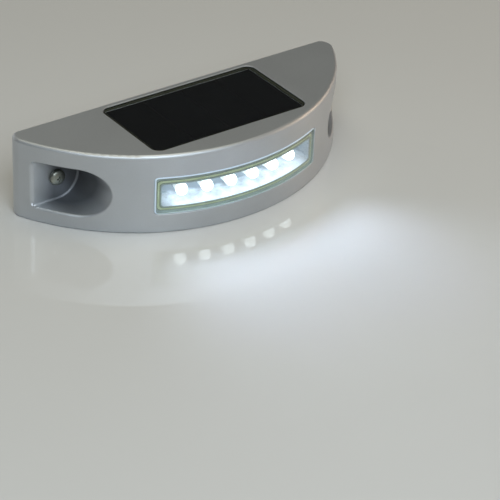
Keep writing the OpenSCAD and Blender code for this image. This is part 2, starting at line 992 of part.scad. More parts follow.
// Metal frame of the slide switch with an ear at each end
module switch_body() {
    cavity_length = slider_length + switch_travel + 2 * slider_gap;
    cavity_width = slider_width + 2 * slider_gap;
    slot_length = knob_length + switch_travel + 2 * knob_gap;
    slot_width = knob_width + 2 * knob_gap;
    color(steel)
        centred()
            translate([switch_x, switch_y, cover_thickness])
                difference() {
                    union() {
                        translate([-switch_width / 2, -switch_length / 2, 0])
                            cube([switch_width, switch_length, switch_height]);
                        translate([-switch_width / 2, -switch_length / 2 - switch_ear, 0])
                            cube([switch_width, switch_length + 2 * switch_ear, switch_ear_thickness]);
                    }
                    translate([-cavity_width / 2, -cavity_length / 2, switch_plate])
                        cube([cavity_width, cavity_length, slider_height + 2 * slider_gap]);
                    translate([-slot_width / 2, -slot_length / 2, -cut])
                        cube([slot_width, slot_length, switch_plate + 2 * cut]);
                    for (side = [-1, 1])
                        translate([0, side * switch_screw_y, -cut])
                            cylinder(r = switch_screw_r + pilot_gap, h = switch_ear_thickness + 2 * cut);
                }
}

// Slider with the knob that a fingertip pushes, at the end of its travel nearest the front
module switch_slider() {
    color("white")
        centred()
            translate([switch_x, switch_y - switch_travel / 2, 0]) {
                translate([-slider_width / 2, -slider_length / 2, cover_thickness + switch_plate + slider_gap])
                    cube([slider_width, slider_length, slider_height]);
                translate([-knob_width / 2, -knob_length / 2, knob_sink])
                    cube([knob_width, knob_length, cover_thickness + switch_plate + 2 * slider_gap - knob_sink]);
            }
}

// Three solder pins on top of the switch
module switch_terminals() {
    color([0.8, 0.7, 0.4])
        centred()
            for (i = [-1 : 1])
                translate([
                    switch_x - terminal_thickness / 2,
                    switch_y + i * terminal_pitch - terminal_width / 2,
                    terminal_z
                ])
                    cube([terminal_thickness, terminal_width, terminal_length]);
}

// Screws through the switch's ears into the base cover
module switch_screws() {
    color(steel)
        centred()
            for (side = [-1, 1])
                translate([switch_x, switch_y + side * switch_screw_y, cover_thickness + switch_ear_thickness])
                    mirror([0, 0, 1])
                        screw(
                            switch_screw_r, switch_screw_length,
                            switch_screw_head_r, switch_screw_head_height
                        );
}

// Direction from one point to the next
function direction(a, b) = (b - a) / norm(b - a);

// Points of a lead's middle line: each inner corner becomes a short curve
function corner_point(before, corner, after, t) =
    let (
        from = corner + lead_bend * direction(corner, before),
        to = corner + lead_bend * direction(corner, after)
    )
    (1 - t) * (1 - t) * from + 2 * t * (1 - t) * corner + t * t * to;
function rounded_path(points) = concat(
    [points[0]],
    [
        for (i = [1 : len(points) - 2], k = [0 : lead_bend_steps])
            corner_point(points[i - 1], points[i], points[i + 1], k / lead_bend_steps)
    ],
    [points[len(points) - 1]]
);

// Direction of the path at one of its points
function heading(path, i) =
    let (last = len(path) - 1)
    direction(path[max(i - 1, 0)], path[min(i + 1, last)]);

// Ring of points round the path at one of its points
function lead_ring(path, i) =
    let (
        along = i == 0 ? direction(path[0], path[1])
            : i == len(path) - 1 ? direction(path[i - 1], path[i]) : heading(path, i),
        across = cross(along, lead_reference) / norm(cross(along, lead_reference)),
        other = cross(along, across)
    )
    [
        for (k = [0 : lead_sides - 1])
            path[i] + lead_d / 2 * (cos(360 * k / lead_sides) * across + sin(360 * k / lead_sides) * other)
    ];

// Tube skin over rings that have the same number of points, with flat ends
function tube_faces(rings, sides) =
    let (last = (rings - 1) * sides)
    concat(
        [
            for (i = [0 : rings - 2], s = [0 : sides - 1])
                let (a = i * sides + s, b = i * sides + (s + 1) % sides)
                each [[a, b, b + sides], [a, b + sides, a + sides]]
        ],
        [for (s = [1 : sides - 2]) [0, s + 1, s]],
        [for (s = [1 : sides - 2]) [last, last + s, last + s + 1]]
    );

// Insulated lead along a list of points, rounded at each bend
module lead(points) {
    path = rounded_path(points);
    rings = [for (i = [0 : len(path) - 1]) each lead_ring(path, i)];
    polyhedron(points = rings, faces = tube_faces(len(path), lead_sides), convexity = 6);
}

// Lead from the solar panel down to the circuit board, on the given side
module panel_lead(side) {
    upper_x = side * panel_lead_spread;
    lower_x = side * panel_lead_board_spread;
    bend_z = ceiling_z - panel_lead_drop;
    lead([
        [upper_x, panel_lead_y, board_of_panel_z],
        [upper_x, panel_lead_y, bend_z],
        [lower_x, panel_lead_y, bend_z - panel_lead_slant],
        [lower_x, panel_lead_y, board_top]
    ]);
}

module panel_lead_red() {
    color("red")
        centred()
            panel_lead(1);
}

module panel_lead_black() {
    color([0.1, 0.1, 0.1])
        centred()
            panel_lead(-1);
}

// Lead from a battery contact over the holder's wall to the circuit board, on the given side
module battery_lead(side) {
    top = contact_top + battery_lead_rise;
    contact_x = side * (holder_inside / 2 - contact_thickness / 2);
    board_x = side * (pillar_x - battery_lead_from_pillar);
    board_y = board_back_y - battery_lead_landing;
    lead([
        [contact_x, battery_y, contact_top],
        [contact_x, battery_y, top],
        [board_x, board_y, top],
        [board_x, board_y, board_top]
    ]);
}

module battery_lead_red() {
    color("red")
        centred()
            battery_lead(1);
}

module battery_lead_black() {
    color([0.1, 0.1, 0.1])
        centred()
            battery_lead(-1);
}

// Lead from a switch terminal round the end of the circuit board to its top face
module switch_lead(terminal, rise) {
    start = terminal_z + terminal_length;
    terminal_y = switch_y + terminal * terminal_pitch;
    outside_x = board_length / 2 + switch_lead_clear;
    board_x = board_length / 2 - switch_lead_inset;
    board_y = board_back_y - switch_lead_landing + terminal * terminal_pitch;
    arch_z = board_top + switch_lead_arch;
    lead([
        [switch_x, terminal_y, start],
        [switch_x, terminal_y, start + rise],
        [outside_x, board_y, start + rise + switch_lead_slant],
        [outside_x, board_y, arch_z],
        [board_x, board_y, arch_z],
        [board_x, board_y, board_top]
    ]);
}

module switch_lead_in() {
    color("red")
        centred()
            switch_lead(0, switch_lead_high_rise);
}

module switch_lead_out() {
    color([0.9, 0.9, 0.9])
        centred()
            switch_lead(-1, switch_lead_low_rise);
}

// Pan-head wall screws: heads on the pocket floors, plain shanks through the housing, and the
// threads and points standing out of the back
module mounting_screws() {
    thread_length = wall_screw_length - pocket_floor - screw_tip_length;
    color(steel)
        centred()
            both_ends()
                translate([screw_x, -pocket_floor, screw_height])
                    rotate([90, 0, 0])
                        difference() {
                            union() {
                                intersection() {
                                    cylinder(r = screw_head_r, h = screw_head_height);
                                    translate([0, 0, screw_head_height - screw_head_dome_r])
                                        sphere(r = screw_head_dome_r);
                                }
                                translate([0, 0, -pocket_floor])
                                    cylinder(d = wall_screw_shank_d, h = pocket_floor + screw_head_rim);
                                translate([0, 0, -pocket_floor - thread_length])
                                    cylinder(d = wall_screw_d, h = thread_length);
                                translate([0, 0, -wall_screw_length])
                                    cylinder(d1 = screw_point_d, d2 = wall_screw_d, h = screw_tip_length);
                            }
                            for (turn = [0, 90])
                                rotate([0, 0, turn])
                                    translate([
                                        -screw_slot_arm / 2, -screw_slot_width / 2,
                                        screw_head_height - screw_slot_depth
                                    ])
                                        cube([screw_slot_arm, screw_slot_width, screw_slot_depth + cut]);
                        }
}

housing();
solar_window();
window_gasket();
solar_cells();
solar_panel_board();
panel_tape();
lens();
lens_gasket();
reflector();
for (i = [1 : led_count])
    led(i);
circuit_board();
driver_ic();
boost_inductor();
filter_capacitor();
resistors();
board_screws();
battery();
battery_holder();
contact_positive();
contact_negative();
contact_spring();
holder_screws();
base_cover();
base_seal();
base_screws();
switch_body();
switch_slider();
switch_terminals();
switch_screws();
panel_lead_red();
panel_lead_black();
battery_lead_red();
battery_lead_black();
switch_lead_in();
switch_lead_out();
mounting_screws();
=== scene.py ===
"""Solar driveway light: finishes, finely made pieces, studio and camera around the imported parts."""
import logging
import math
from dataclasses import dataclass, replace
from enum import Enum
from typing import Callable, Dict, List, Optional, Sequence, Tuple

import bmesh
import bpy
from mathutils import Matrix, Vector


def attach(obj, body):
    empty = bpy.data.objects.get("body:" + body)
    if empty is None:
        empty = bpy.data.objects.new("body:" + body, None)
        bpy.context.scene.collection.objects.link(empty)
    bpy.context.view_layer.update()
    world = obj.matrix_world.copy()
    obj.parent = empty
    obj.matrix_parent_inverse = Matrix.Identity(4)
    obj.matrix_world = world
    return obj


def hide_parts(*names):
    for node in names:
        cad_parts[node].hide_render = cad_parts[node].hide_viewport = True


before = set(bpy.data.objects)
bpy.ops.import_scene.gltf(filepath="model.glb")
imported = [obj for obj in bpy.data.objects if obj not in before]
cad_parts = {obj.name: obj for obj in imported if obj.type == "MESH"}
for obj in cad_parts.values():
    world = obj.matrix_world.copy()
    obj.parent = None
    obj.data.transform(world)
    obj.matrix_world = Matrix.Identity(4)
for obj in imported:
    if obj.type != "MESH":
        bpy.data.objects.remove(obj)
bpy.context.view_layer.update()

MM = 0.001
LIGHT_BODY = "light"
LOG = logging.getLogger("driveway_light")

Colour = Tuple[float, float, float]
Point2 = Tuple[float, float]
Socket = bpy.types.NodeSocket
Item = bpy.types.Object


class Rounding(Enum):
    """Which way an edge is rounded: an outer edge is cut back, an inner corner is filled."""

    OUTER_EDGE = 1
    INNER_CORNER = -1


class Join(Enum):
    """How one solid is joined to another."""

    CUT = "DIFFERENCE"
    ADD = "UNION"


class Grain(Enum):
    """The fine surface pattern of a finish."""

    MOULDED = "fine moulded texture"
    BRUSHED = "fine lines along the length"
    FLAKED = "metal flakes under lacquer"
    SMOOTH = "polished with faint handling marks"
    SPONGY = "open cells"


@dataclass(frozen=True)
class Crescent:
    """The light's plan, a flat back and a bowed front that runs round the tips, and the places in it."""

    length: float = 160.0
    depth: float = 56.0
    height: float = 36.0
    tip_radius: float = 6.0
    tip_set: float = 4.0
    lens_middle: float = 17.3
    lamp_level: float = 16.6
    window_y: float = 5.1
    screw_x: float = 65.0
    screw_z: float = 17.3
    pocket_floor_y: float = 16.4

    @property
    def back_y(self) -> float:
        """Where the flat back is."""
        return self.depth / 2

    @property
    def radius(self) -> float:
        """The radius of the bowed front, which runs on into both tip corners.

        Returns:
            The radius in millimetres.
        """
        tip_x = self.length / 2 - self.tip_radius
        reach = self.depth - self.tip_set
        return (tip_x ** 2 + reach ** 2 - self.tip_radius ** 2) / (2 * (reach - self.tip_radius))

    @property
    def centre_y(self) -> float:
        """Where the centre of the bowed front is."""
        return self.back_y + self.radius - self.depth

    def front_y(self, x: float, under: float = 0.0) -> float:
        """Where the bowed front is at x, or a surface that far behind it."""
        return self.centre_y - math.sqrt((self.radius - under) ** 2 - x ** 2)

    def front_normal(self, x: float) -> Vector:
        """The bowed front's outward direction at x."""
        return Vector((x / self.radius, (self.front_y(x) - self.centre_y) / self.radius, 0.0))


PLAN = Crescent()


def darker(colour: Colour, share: float) -> Colour:
    """A colour with each channel at that share."""
    return tuple(channel * share for channel in colour)


# Node trees


class Recipe:
    """A material under construction: its node tree and the few calls that fill it."""

    def __init__(self, name: str) -> None:
        """Starts an empty material.

        Args:
            name: the material's name.
        """
        self.material = bpy.data.materials.new(name)
        self.material.use_nodes = True
        self.tree = self.material.node_tree
        self.shader = self.tree.nodes["Principled BSDF"]
        self.place = self.add("ShaderNodeTexCoord").outputs["Object"]

    def add(self, kind: str, **settings: object) -> bpy.types.Node:
        """Adds a node.

        Args:
            kind: the node's type name.
            settings: properties to set on the node.

        Returns:
            The new node.
        """
        node = self.tree.nodes.new(kind)
        for key, value in settings.items():
            setattr(node, key, value)
        return node

    def join(self, source: Socket, target: Socket) -> None:
        """Links an output to an input."""
        self.tree.links.new(source, target)

    def feed(self, **sources: Socket) -> None:
        """Links outputs to the shader's inputs, with _ for a space in an input's name."""
        for key, source in sources.items():
            self.join(source, self.shader.inputs[key.replace("_", " ")])

    def fed(self, name: str) -> Socket:
        """The output that feeds one of the shader's inputs."""
        return self.shader.inputs[name].links[0].from_socket

    def stretched(self, sizes_mm: Sequence[float]) -> Socket:
        """Object coordinates divided by a size for each axis.

        Args:
            sizes_mm: the length along X, Y and Z that counts as one.

        Returns:
            The scaled coordinates.
        """
        mapping = self.add("ShaderNodeMapping")
        mapping.inputs["Scale"].default_value = [1 / (size * MM) for size in sizes_mm]
        self.join(self.place, mapping.inputs["Vector"])
        return mapping.outputs["Vector"]

    def noise(self, sizes_mm: Sequence[float], detail: float = 3.0, rough: float = 0.5) -> Socket:
        """A noise pattern.

        Args:
            sizes_mm: the pattern's size along X, Y and Z.
            detail: the number of finer layers.
            rough: the strength of the finer layers.

        Returns:
            The pattern's value, about 0 to 1.
        """
        node = self.add("ShaderNodeTexNoise")
        self.join(self.stretched(sizes_mm), node.inputs["Vector"])
        node.inputs["Scale"].default_value = 1.0
        node.inputs["Detail"].default_value = detail
        node.inputs["Roughness"].default_value = rough
        return node.outputs["Fac"]

    def cells(self, size_mm: float) -> Socket:
        """A cell pattern.

        Args:
            size_mm: the distance from cell to cell.

        Returns:
            The distance to the nearest cell's middle, as a share of the size.
        """
        node = self.add("ShaderNodeTexVoronoi")
        self.join(self.stretched((size_mm,) * 3), node.inputs["Vector"])
        node.inputs["Scale"].default_value = 1.0
        return node.outputs["Distance"]

    def spread(self, value: Socket, low: float, high: float,
               start: float = 0.3, end: float = 0.7) -> Socket:
        """Maps a pattern's middle range onto a new range.

        Args:
            value: the pattern.
            low: the result at and under start.
            high: the result at and over end.
            start: the pattern's value that gives low.
            end: the pattern's value that gives high.

        Returns:
            The mapped value.
        """
        node = self.add("ShaderNodeMapRange")
        self.join(value, node.inputs["Value"])
        for name, number in (("From Min", start), ("From Max", end), ("To Min", low), ("To Max", high)):
            node.inputs[name].default_value = number
        return node.outputs["Result"]

    def blend(self, amount: Socket, first: object, second: object) -> Socket:
        """Mixes two colours.

        Args:
            amount: 0 for the first, 1 for the second.
            first: a colour or a socket.
            second: a colour or a socket.

        Returns:
            The mixed colour.
        """
        node = self.add("ShaderNodeMix", data_type="RGBA")
        self.join(amount, node.inputs["Factor"])
        for name, value in (("A", first), ("B", second)):
            socket = next(s for s in node.inputs if s.name == name and s.type == "RGBA")
            if isinstance(value, tuple):
                socket.default_value = (*value, 1.0)
            else:
                self.join(value, socket)
        return next(s for s in node.outputs if s.type == "RGBA")

    def sum_up(self, operation: str, first: Socket, second: object) -> Socket:
        """One step of arithmetic.

        Args:
            operation: the Math node's operation.
            first: the first value.
            second: a number or a socket.

        Returns:
            The result.
        """
        node = self.add("ShaderNodeMath", operation=operation)
        self.join(first, node.inputs[0])
        if isinstance(second, (int, float)):
            node.inputs[1].default_value = second
        else:
            self.join(second, node.inputs[1])
        return node.outputs[0]

    def times(self, first: Socket, second: object) -> Socket:
        """One value times another."""
        return self.sum_up("MULTIPLY", first, second)

    def over(self, place: Socket, limit_mm: float) -> Socket:
        """1 where a place lies over a limit, else 0."""
        return self.sum_up("GREATER_THAN", place, limit_mm * MM)

    def under(self, place: Socket, limit_mm: float) -> Socket:
        """1 where a place lies under a limit, else 0."""
        return self.sum_up("LESS_THAN", place, limit_mm * MM)

    def pick(self, mask: Socket, outside: float, inside: float) -> Socket:
        """One number where a mask is 0 and another where it is 1."""
        return self.spread(mask, outside, inside, 0.0, 1.0)

    def mottle(self, pattern: Socket, first: Colour, second: Colour) -> Socket:
        """Mixes two colours by a pattern's middle range."""
        return self.blend(self.spread(pattern, 0.0, 1.0), first, second)

    def axis(self, letter: str) -> Socket:
        """The place along one axis of the frame.

        Args:
            letter: X, Y or Z.

        Returns:
            The place in metres.
        """
        parts = self.add("ShaderNodeSeparateXYZ")
        self.join(self.place, parts.inputs[0])
        return parts.outputs[letter]

    def reach(self, centre_y: float = PLAN.centre_y) -> Socket:
        """The distance from an upright axis, in metres.

        Args:
            centre_y: where the axis crosses Y, in millimetres: the bow's centre unless given.

        Returns:
            The distance.
        """
        ahead = self.sum_up("SUBTRACT", self.axis("Y"), centre_y * MM)
        ahead = self.sum_up("MULTIPLY", ahead, ahead)
        aside = self.axis("X")
        aside = self.sum_up("MULTIPLY", aside, aside)
        return self.sum_up("SQRT", self.sum_up("ADD", ahead, aside), 0.0)

    def bump(self, height: Socket, depth_mm: float) -> None:
        """Raises the surface by a pattern.

        Args:
            height: the pattern, 0 to 1.
            depth_mm: how deep it is.
        """
        node = self.add("ShaderNodeBump")
        node.inputs["Distance"].default_value = depth_mm * MM
        node.inputs["Strength"].default_value = 1.0
        self.join(height, node.inputs["Height"])
        self.join(node.outputs["Normal"], self.shader.inputs["Normal"])

    def set(self, **values: object) -> None:
        """Sets constants on the shader, with _ for a space in a socket's name."""
        for key, value in values.items():
            socket = self.shader.inputs[key.replace("_", " ")]
            socket.default_value = (*value, 1.0) if isinstance(value, tuple) and len(value) == 3 else value


# Finishes


@dataclass(frozen=True)
class Dressing:
    """What every finish has: a name, and a surface that is made into one material."""

    name: str

    def surface(self, recipe: Recipe) -> None:
        """Sets colour, gloss and grain, as each kind of finish says."""
        raise NotImplementedError(self.name)

    def material(self) -> bpy.types.Material:
        """Makes the material.

        Returns:
            The new material.
        """
        recipe = Recipe(self.name)
        self.surface(recipe)
        return recipe.material


@dataclass(frozen=True)
class Finish(Dressing):
    """An opaque finish: colour that varies a little, a fine grain and uneven gloss."""

    colour: Colour
    shade: Colour
    roughness: float = 0.5
    swing: float = 0.08
    metallic: float = 0.0
    grain: Grain = Grain.MOULDED
    grain_mm: float = 0.35
    depth_mm: float = 0.012
    patch_mm: float = 9.0
    # Emission in the finish's own colour; set on a part that is no lamp, it is painted light.
    glow: float = 0.0
    brush_stretch: float = 40.0
    smear_stretch: float = 12.0
    fine_stretch: float = 3.0
    fine_share: float = 0.25

    def grain_height(self, recipe: Recipe) -> Socket:
        """The pattern that raises the surface.

        Args:
            recipe: the material.

        Returns:
            The height, 0 to 1.
        """
        size = self.grain_mm
        if self.grain is Grain.BRUSHED:
            return recipe.noise((size * self.brush_stretch, size, size), 4)
        if self.grain is Grain.SPONGY:
            return recipe.cells(size)
        if self.grain is Grain.FLAKED:
            return recipe.noise((size,) * 3, 1)
        if self.grain is Grain.SMOOTH:
            return recipe.noise((size * self.smear_stretch,) * 3, 2)
        return recipe.noise((size,) * 3, 3, 0.6)

    def surface(self, recipe: Recipe) -> None:
        """Sets colour, gloss and grain.

        Args:
            recipe: the material.
        """
        patches = recipe.noise((self.patch_mm,) * 3, 3)
        fine = recipe.noise((self.grain_mm * self.fine_stretch,) * 3, 2)
        tone = recipe.spread(patches, 0.0, 1 - self.fine_share)
        tone = recipe.sum_up("ADD", tone, recipe.spread(fine, 0.0, self.fine_share))
        low, high = self.roughness - self.swing / 2, self.roughness + self.swing / 2
        recipe.feed(Base_Color=recipe.blend(tone, self.colour, self.shade),
                    Roughness=recipe.spread(patches, low, high, 0.25, 0.75))
        recipe.bump(self.grain_height(recipe), self.depth_mm)
        recipe.set(Metallic=self.metallic, Emission_Color=self.colour, Emission_Strength=self.glow)


@dataclass(frozen=True)
class PocketShadedFinish(Finish):
    """Silver paint with painted shade: its colour darkens deep in the screw pockets, where shade falls."""

    # The painted shade colour for the deep pockets, then the depths where it starts and where it is full.
    pocket_shade: Colour = (0.2, 0.21, 0.225)
    unshaded_under: float = 1.5
    darkest_under: float = 9.0
    rim_height: float = 4.0
    pocket_back: float = 18.0

    def surface(self, recipe: Recipe) -> None:
        """Sets colour, gloss and grain, and paints shade deep in the pockets.

        Args:
            recipe: the material.
        """
        super().surface(recipe)
        # Painted shade: the base colour darkens with depth behind the bowed front, inside the screw pockets,
        # where shadow falls.
        outer = recipe.fed("Base Color")
        darkest_at, unshaded_at = (PLAN.radius - self.darkest_under) * MM, (PLAN.radius - self.unshaded_under) * MM
        deep = recipe.spread(recipe.reach(), 1.0, 0.0, darkest_at, unshaded_at)
        before_back = recipe.under(recipe.axis("Y"), self.pocket_back)
        height = recipe.axis("Z")
        between = recipe.times(recipe.over(height, self.rim_height),
                               recipe.under(height, PLAN.height - self.rim_height))
        inside = recipe.times(recipe.times(deep, before_back), between)
        recipe.feed(Base_Color=recipe.blend(inside, outer, self.pocket_shade))


@dataclass(frozen=True)
class ClearFinish(Dressing):
    """A clear moulded plastic: faint tint, near-polished, with slight unevenness."""

    tint: Colour
    roughness: float = 0.03
    mirror: float = 0.5
    ior: float = 1.49
    haze_mm: float = 7.0
    haze_share: float = 0.97
    wave_mm: float = 4.0
    wave_depth_mm: float = 0.004

    def surface(self, recipe: Recipe) -> None:
        """Sets colour, gloss and waviness.

        Args:
            recipe: the material.
        """
        haze = recipe.noise((self.haze_mm,) * 3, 2)
        recipe.feed(Base_Color=recipe.mottle(haze, self.tint, darker(self.tint, self.haze_share)),
                    Roughness=recipe.spread(haze, self.roughness, self.roughness * 2))
        recipe.bump(recipe.noise((self.wave_mm,) * 3, 1), self.wave_depth_mm)
        recipe.set(Transmission_Weight=1.0, IOR=self.ior, Specular_IOR_Level=self.mirror)


@dataclass(frozen=True)
class SolarCellFinish(Dressing):
    """Near-black cells with hairline current fingers across the length."""

    finger_pitch_mm: float = 2.4
    finger_mm: float = 0.12
    aside_mm: float = 1000.0
    cell: Colour = (0.0012, 0.0014, 0.0018)
    crystal: Colour = (0.002, 0.0024, 0.003)
    finger: Colour = (0.004, 0.0045, 0.005)

    def surface(self, recipe: Recipe) -> None:
        """Sets colour, gloss and grain. Fingers are counted from a point well aside, so no place is below 0.

        Args:
            recipe: the material.
        """
        along = recipe.sum_up("ADD", recipe.axis("X"), self.aside_mm * MM)
        line = recipe.under(recipe.sum_up("MODULO", along, self.finger_pitch_mm * MM), self.finger_mm)
        cell = recipe.mottle(recipe.noise((3.0, 9.0, 3.0), 3), self.cell, self.crystal)
        recipe.feed(Base_Color=recipe.blend(line, cell, self.finger), Roughness=recipe.pick(line, 0.3, 0.4))
        recipe.bump(recipe.noise((3.0,) * 3, 2), 0.002)
        recipe.set(Specular_IOR_Level=0.06)


@dataclass(frozen=True)
class LedFinish(Dressing):
    """A lit clear-epoxy lamp on plated legs: which is which goes by the distance from the bow's centre."""

    flange_under: float = 12.2
    tip_under: float = 3.6
    dome_depth: float = 2.5
    fade_from: float = -1.2
    fade_to: float = 0.6
    leg: Colour = (0.55, 0.55, 0.53)
    epoxy: Colour = (0.8, 0.82, 0.8)
    clear_epoxy: Colour = (0.9, 0.92, 0.95)
    glow: Colour = (0.86, 0.94, 1.0)
    strength: float = 2.6
    stem_share: float = 0.2

    def surface(self, recipe: Recipe) -> None:
        """Sets colour, gloss and the glow, which fades from the dome to the stem.

        Args:
            recipe: the material.
        """
        reach = recipe.reach()
        epoxy = recipe.over(reach, PLAN.radius - self.flange_under)
        body = recipe.mottle(recipe.noise((2.0,) * 3), self.epoxy, self.clear_epoxy)
        dome = PLAN.radius - self.tip_under - self.dome_depth
        lit = recipe.spread(reach, self.stem_share, 1.0,
                            (dome + self.fade_from) * MM, (dome + self.fade_to) * MM)
        recipe.feed(Base_Color=recipe.blend(epoxy, self.leg, body), Metallic=recipe.pick(epoxy, 1.0, 0.0),
                    Roughness=recipe.pick(epoxy, 0.3, 0.12),
                    Emission_Strength=recipe.times(recipe.times(lit, epoxy), self.strength))
        recipe.set(Emission_Color=self.glow)
        recipe.bump(recipe.noise((0.8,) * 3, 1), 0.004)


@dataclass(frozen=True)
class ReflectorFinish(Dressing):
    """Bright metallised plastic with painted light: it glows brightest low down, where the lamps' beams land.
    """

    colour: Colour = (0.27, 0.33, 0.39)
    shade: Colour = (0.21, 0.27, 0.33)
    glow: Colour = (0.74, 0.86, 1.0)
    dim: float = 0.17
    bright: float = 1.05
    dark_over: float = -2.8
    bright_under: float = -4.6
    ragged: float = 0.7
    row_end: float = 30.0
    trough_end: float = 36.0
    end_share: float = 0.2

    def surface(self, recipe: Recipe) -> None:
        """Sets colour, gloss and the painted lit band.

        Args:
            recipe: the material.
        """
        haze = recipe.noise((6.0, 2.5, 2.5), 3)
        # Painted light: emission strongest below the lamp row, with ragged edges, fading towards the trough's
        # ends.
        height = recipe.sum_up("ADD", recipe.axis("Z"), -PLAN.lamp_level * MM)
        ragged = recipe.spread(recipe.noise((4.0,) * 3, 2), -self.ragged * MM, self.ragged * MM)
        lit = recipe.spread(recipe.sum_up("ADD", height, ragged), self.bright, self.dim,
                            self.bright_under * MM, self.dark_over * MM)
        aside = recipe.sum_up("ABSOLUTE", recipe.axis("X"), 0.0)
        fall = recipe.spread(aside, 1.0, self.end_share, self.row_end * MM, self.trough_end * MM)
        recipe.feed(Base_Color=recipe.mottle(haze, self.colour, self.shade),
                    Roughness=recipe.spread(haze, 0.24, 0.36), Emission_Strength=recipe.times(lit, fall))
        recipe.bump(recipe.noise((3.0,) * 3, 2), 0.01)
        recipe.set(Metallic=0.3, Emission_Color=self.glow)


@dataclass(frozen=True)
class BoardFinish(Dressing):
    """Solder mask over copper tracks."""

    mask: Colour
    track: Colour
    pitch_mm: float = 2.2
    mottled_share: float = 0.8

    def surface(self, recipe: Recipe) -> None:
        """Sets colour, gloss and the raised tracks.

        Args:
            recipe: the material.
        """
        brick = recipe.add("ShaderNodeTexBrick", offset=0.5)
        recipe.join(recipe.stretched((self.pitch_mm,) * 3), brick.inputs["Vector"])
        for name, value in (("Scale", 1.0), ("Mortar Size", 0.12), ("Brick Width", 3.0), ("Row Height", 0.7)):
            brick.inputs[name].default_value = value
        tracks = brick.outputs["Fac"]
        tone = recipe.mottle(recipe.noise((5.0,) * 3), self.mask, darker(self.mask, self.mottled_share))
        recipe.feed(Base_Color=recipe.blend(tracks, tone, self.track),
                    Roughness=recipe.pick(tracks, 0.3, 0.42))
        recipe.bump(tracks, 0.03)


@dataclass(frozen=True)
class CellSleeveFinish(Dressing):
    """A heat-shrunk battery sleeve with a plain band at one end and bare metal at both ends."""

    half_length: float
    sleeve: Colour = (0.02, 0.16, 0.05)
    band: Colour = (0.75, 0.75, 0.72)
    metal: Colour = (0.6, 0.6, 0.58)
    band_from: float = 14.0
    band_to: float = 17.0
    bare_end: float = 0.6
    mottled_share: float = 0.7

    def surface(self, recipe: Recipe) -> None:
        """Sets colour, gloss and the film's wrinkles.

        Args:
            recipe: the material.
        """
        along = recipe.axis("X")
        ring = recipe.times(recipe.over(along, self.band_from), recipe.under(along, self.band_to))
        bare = recipe.over(recipe.sum_up("ABSOLUTE", along, 0.0), self.half_length - self.bare_end)
        tone = recipe.mottle(recipe.noise((6.0,) * 3), self.sleeve, darker(self.sleeve, self.mottled_share))
        printed = recipe.blend(ring, tone, self.band)
        recipe.feed(Base_Color=recipe.blend(bare, printed, self.metal), Metallic=bare,
                    Roughness=recipe.spread(recipe.noise((3.0, 0.8, 0.8)), 0.22, 0.38))
        recipe.bump(recipe.noise((12.0, 0.9, 0.9), 2), 0.02)


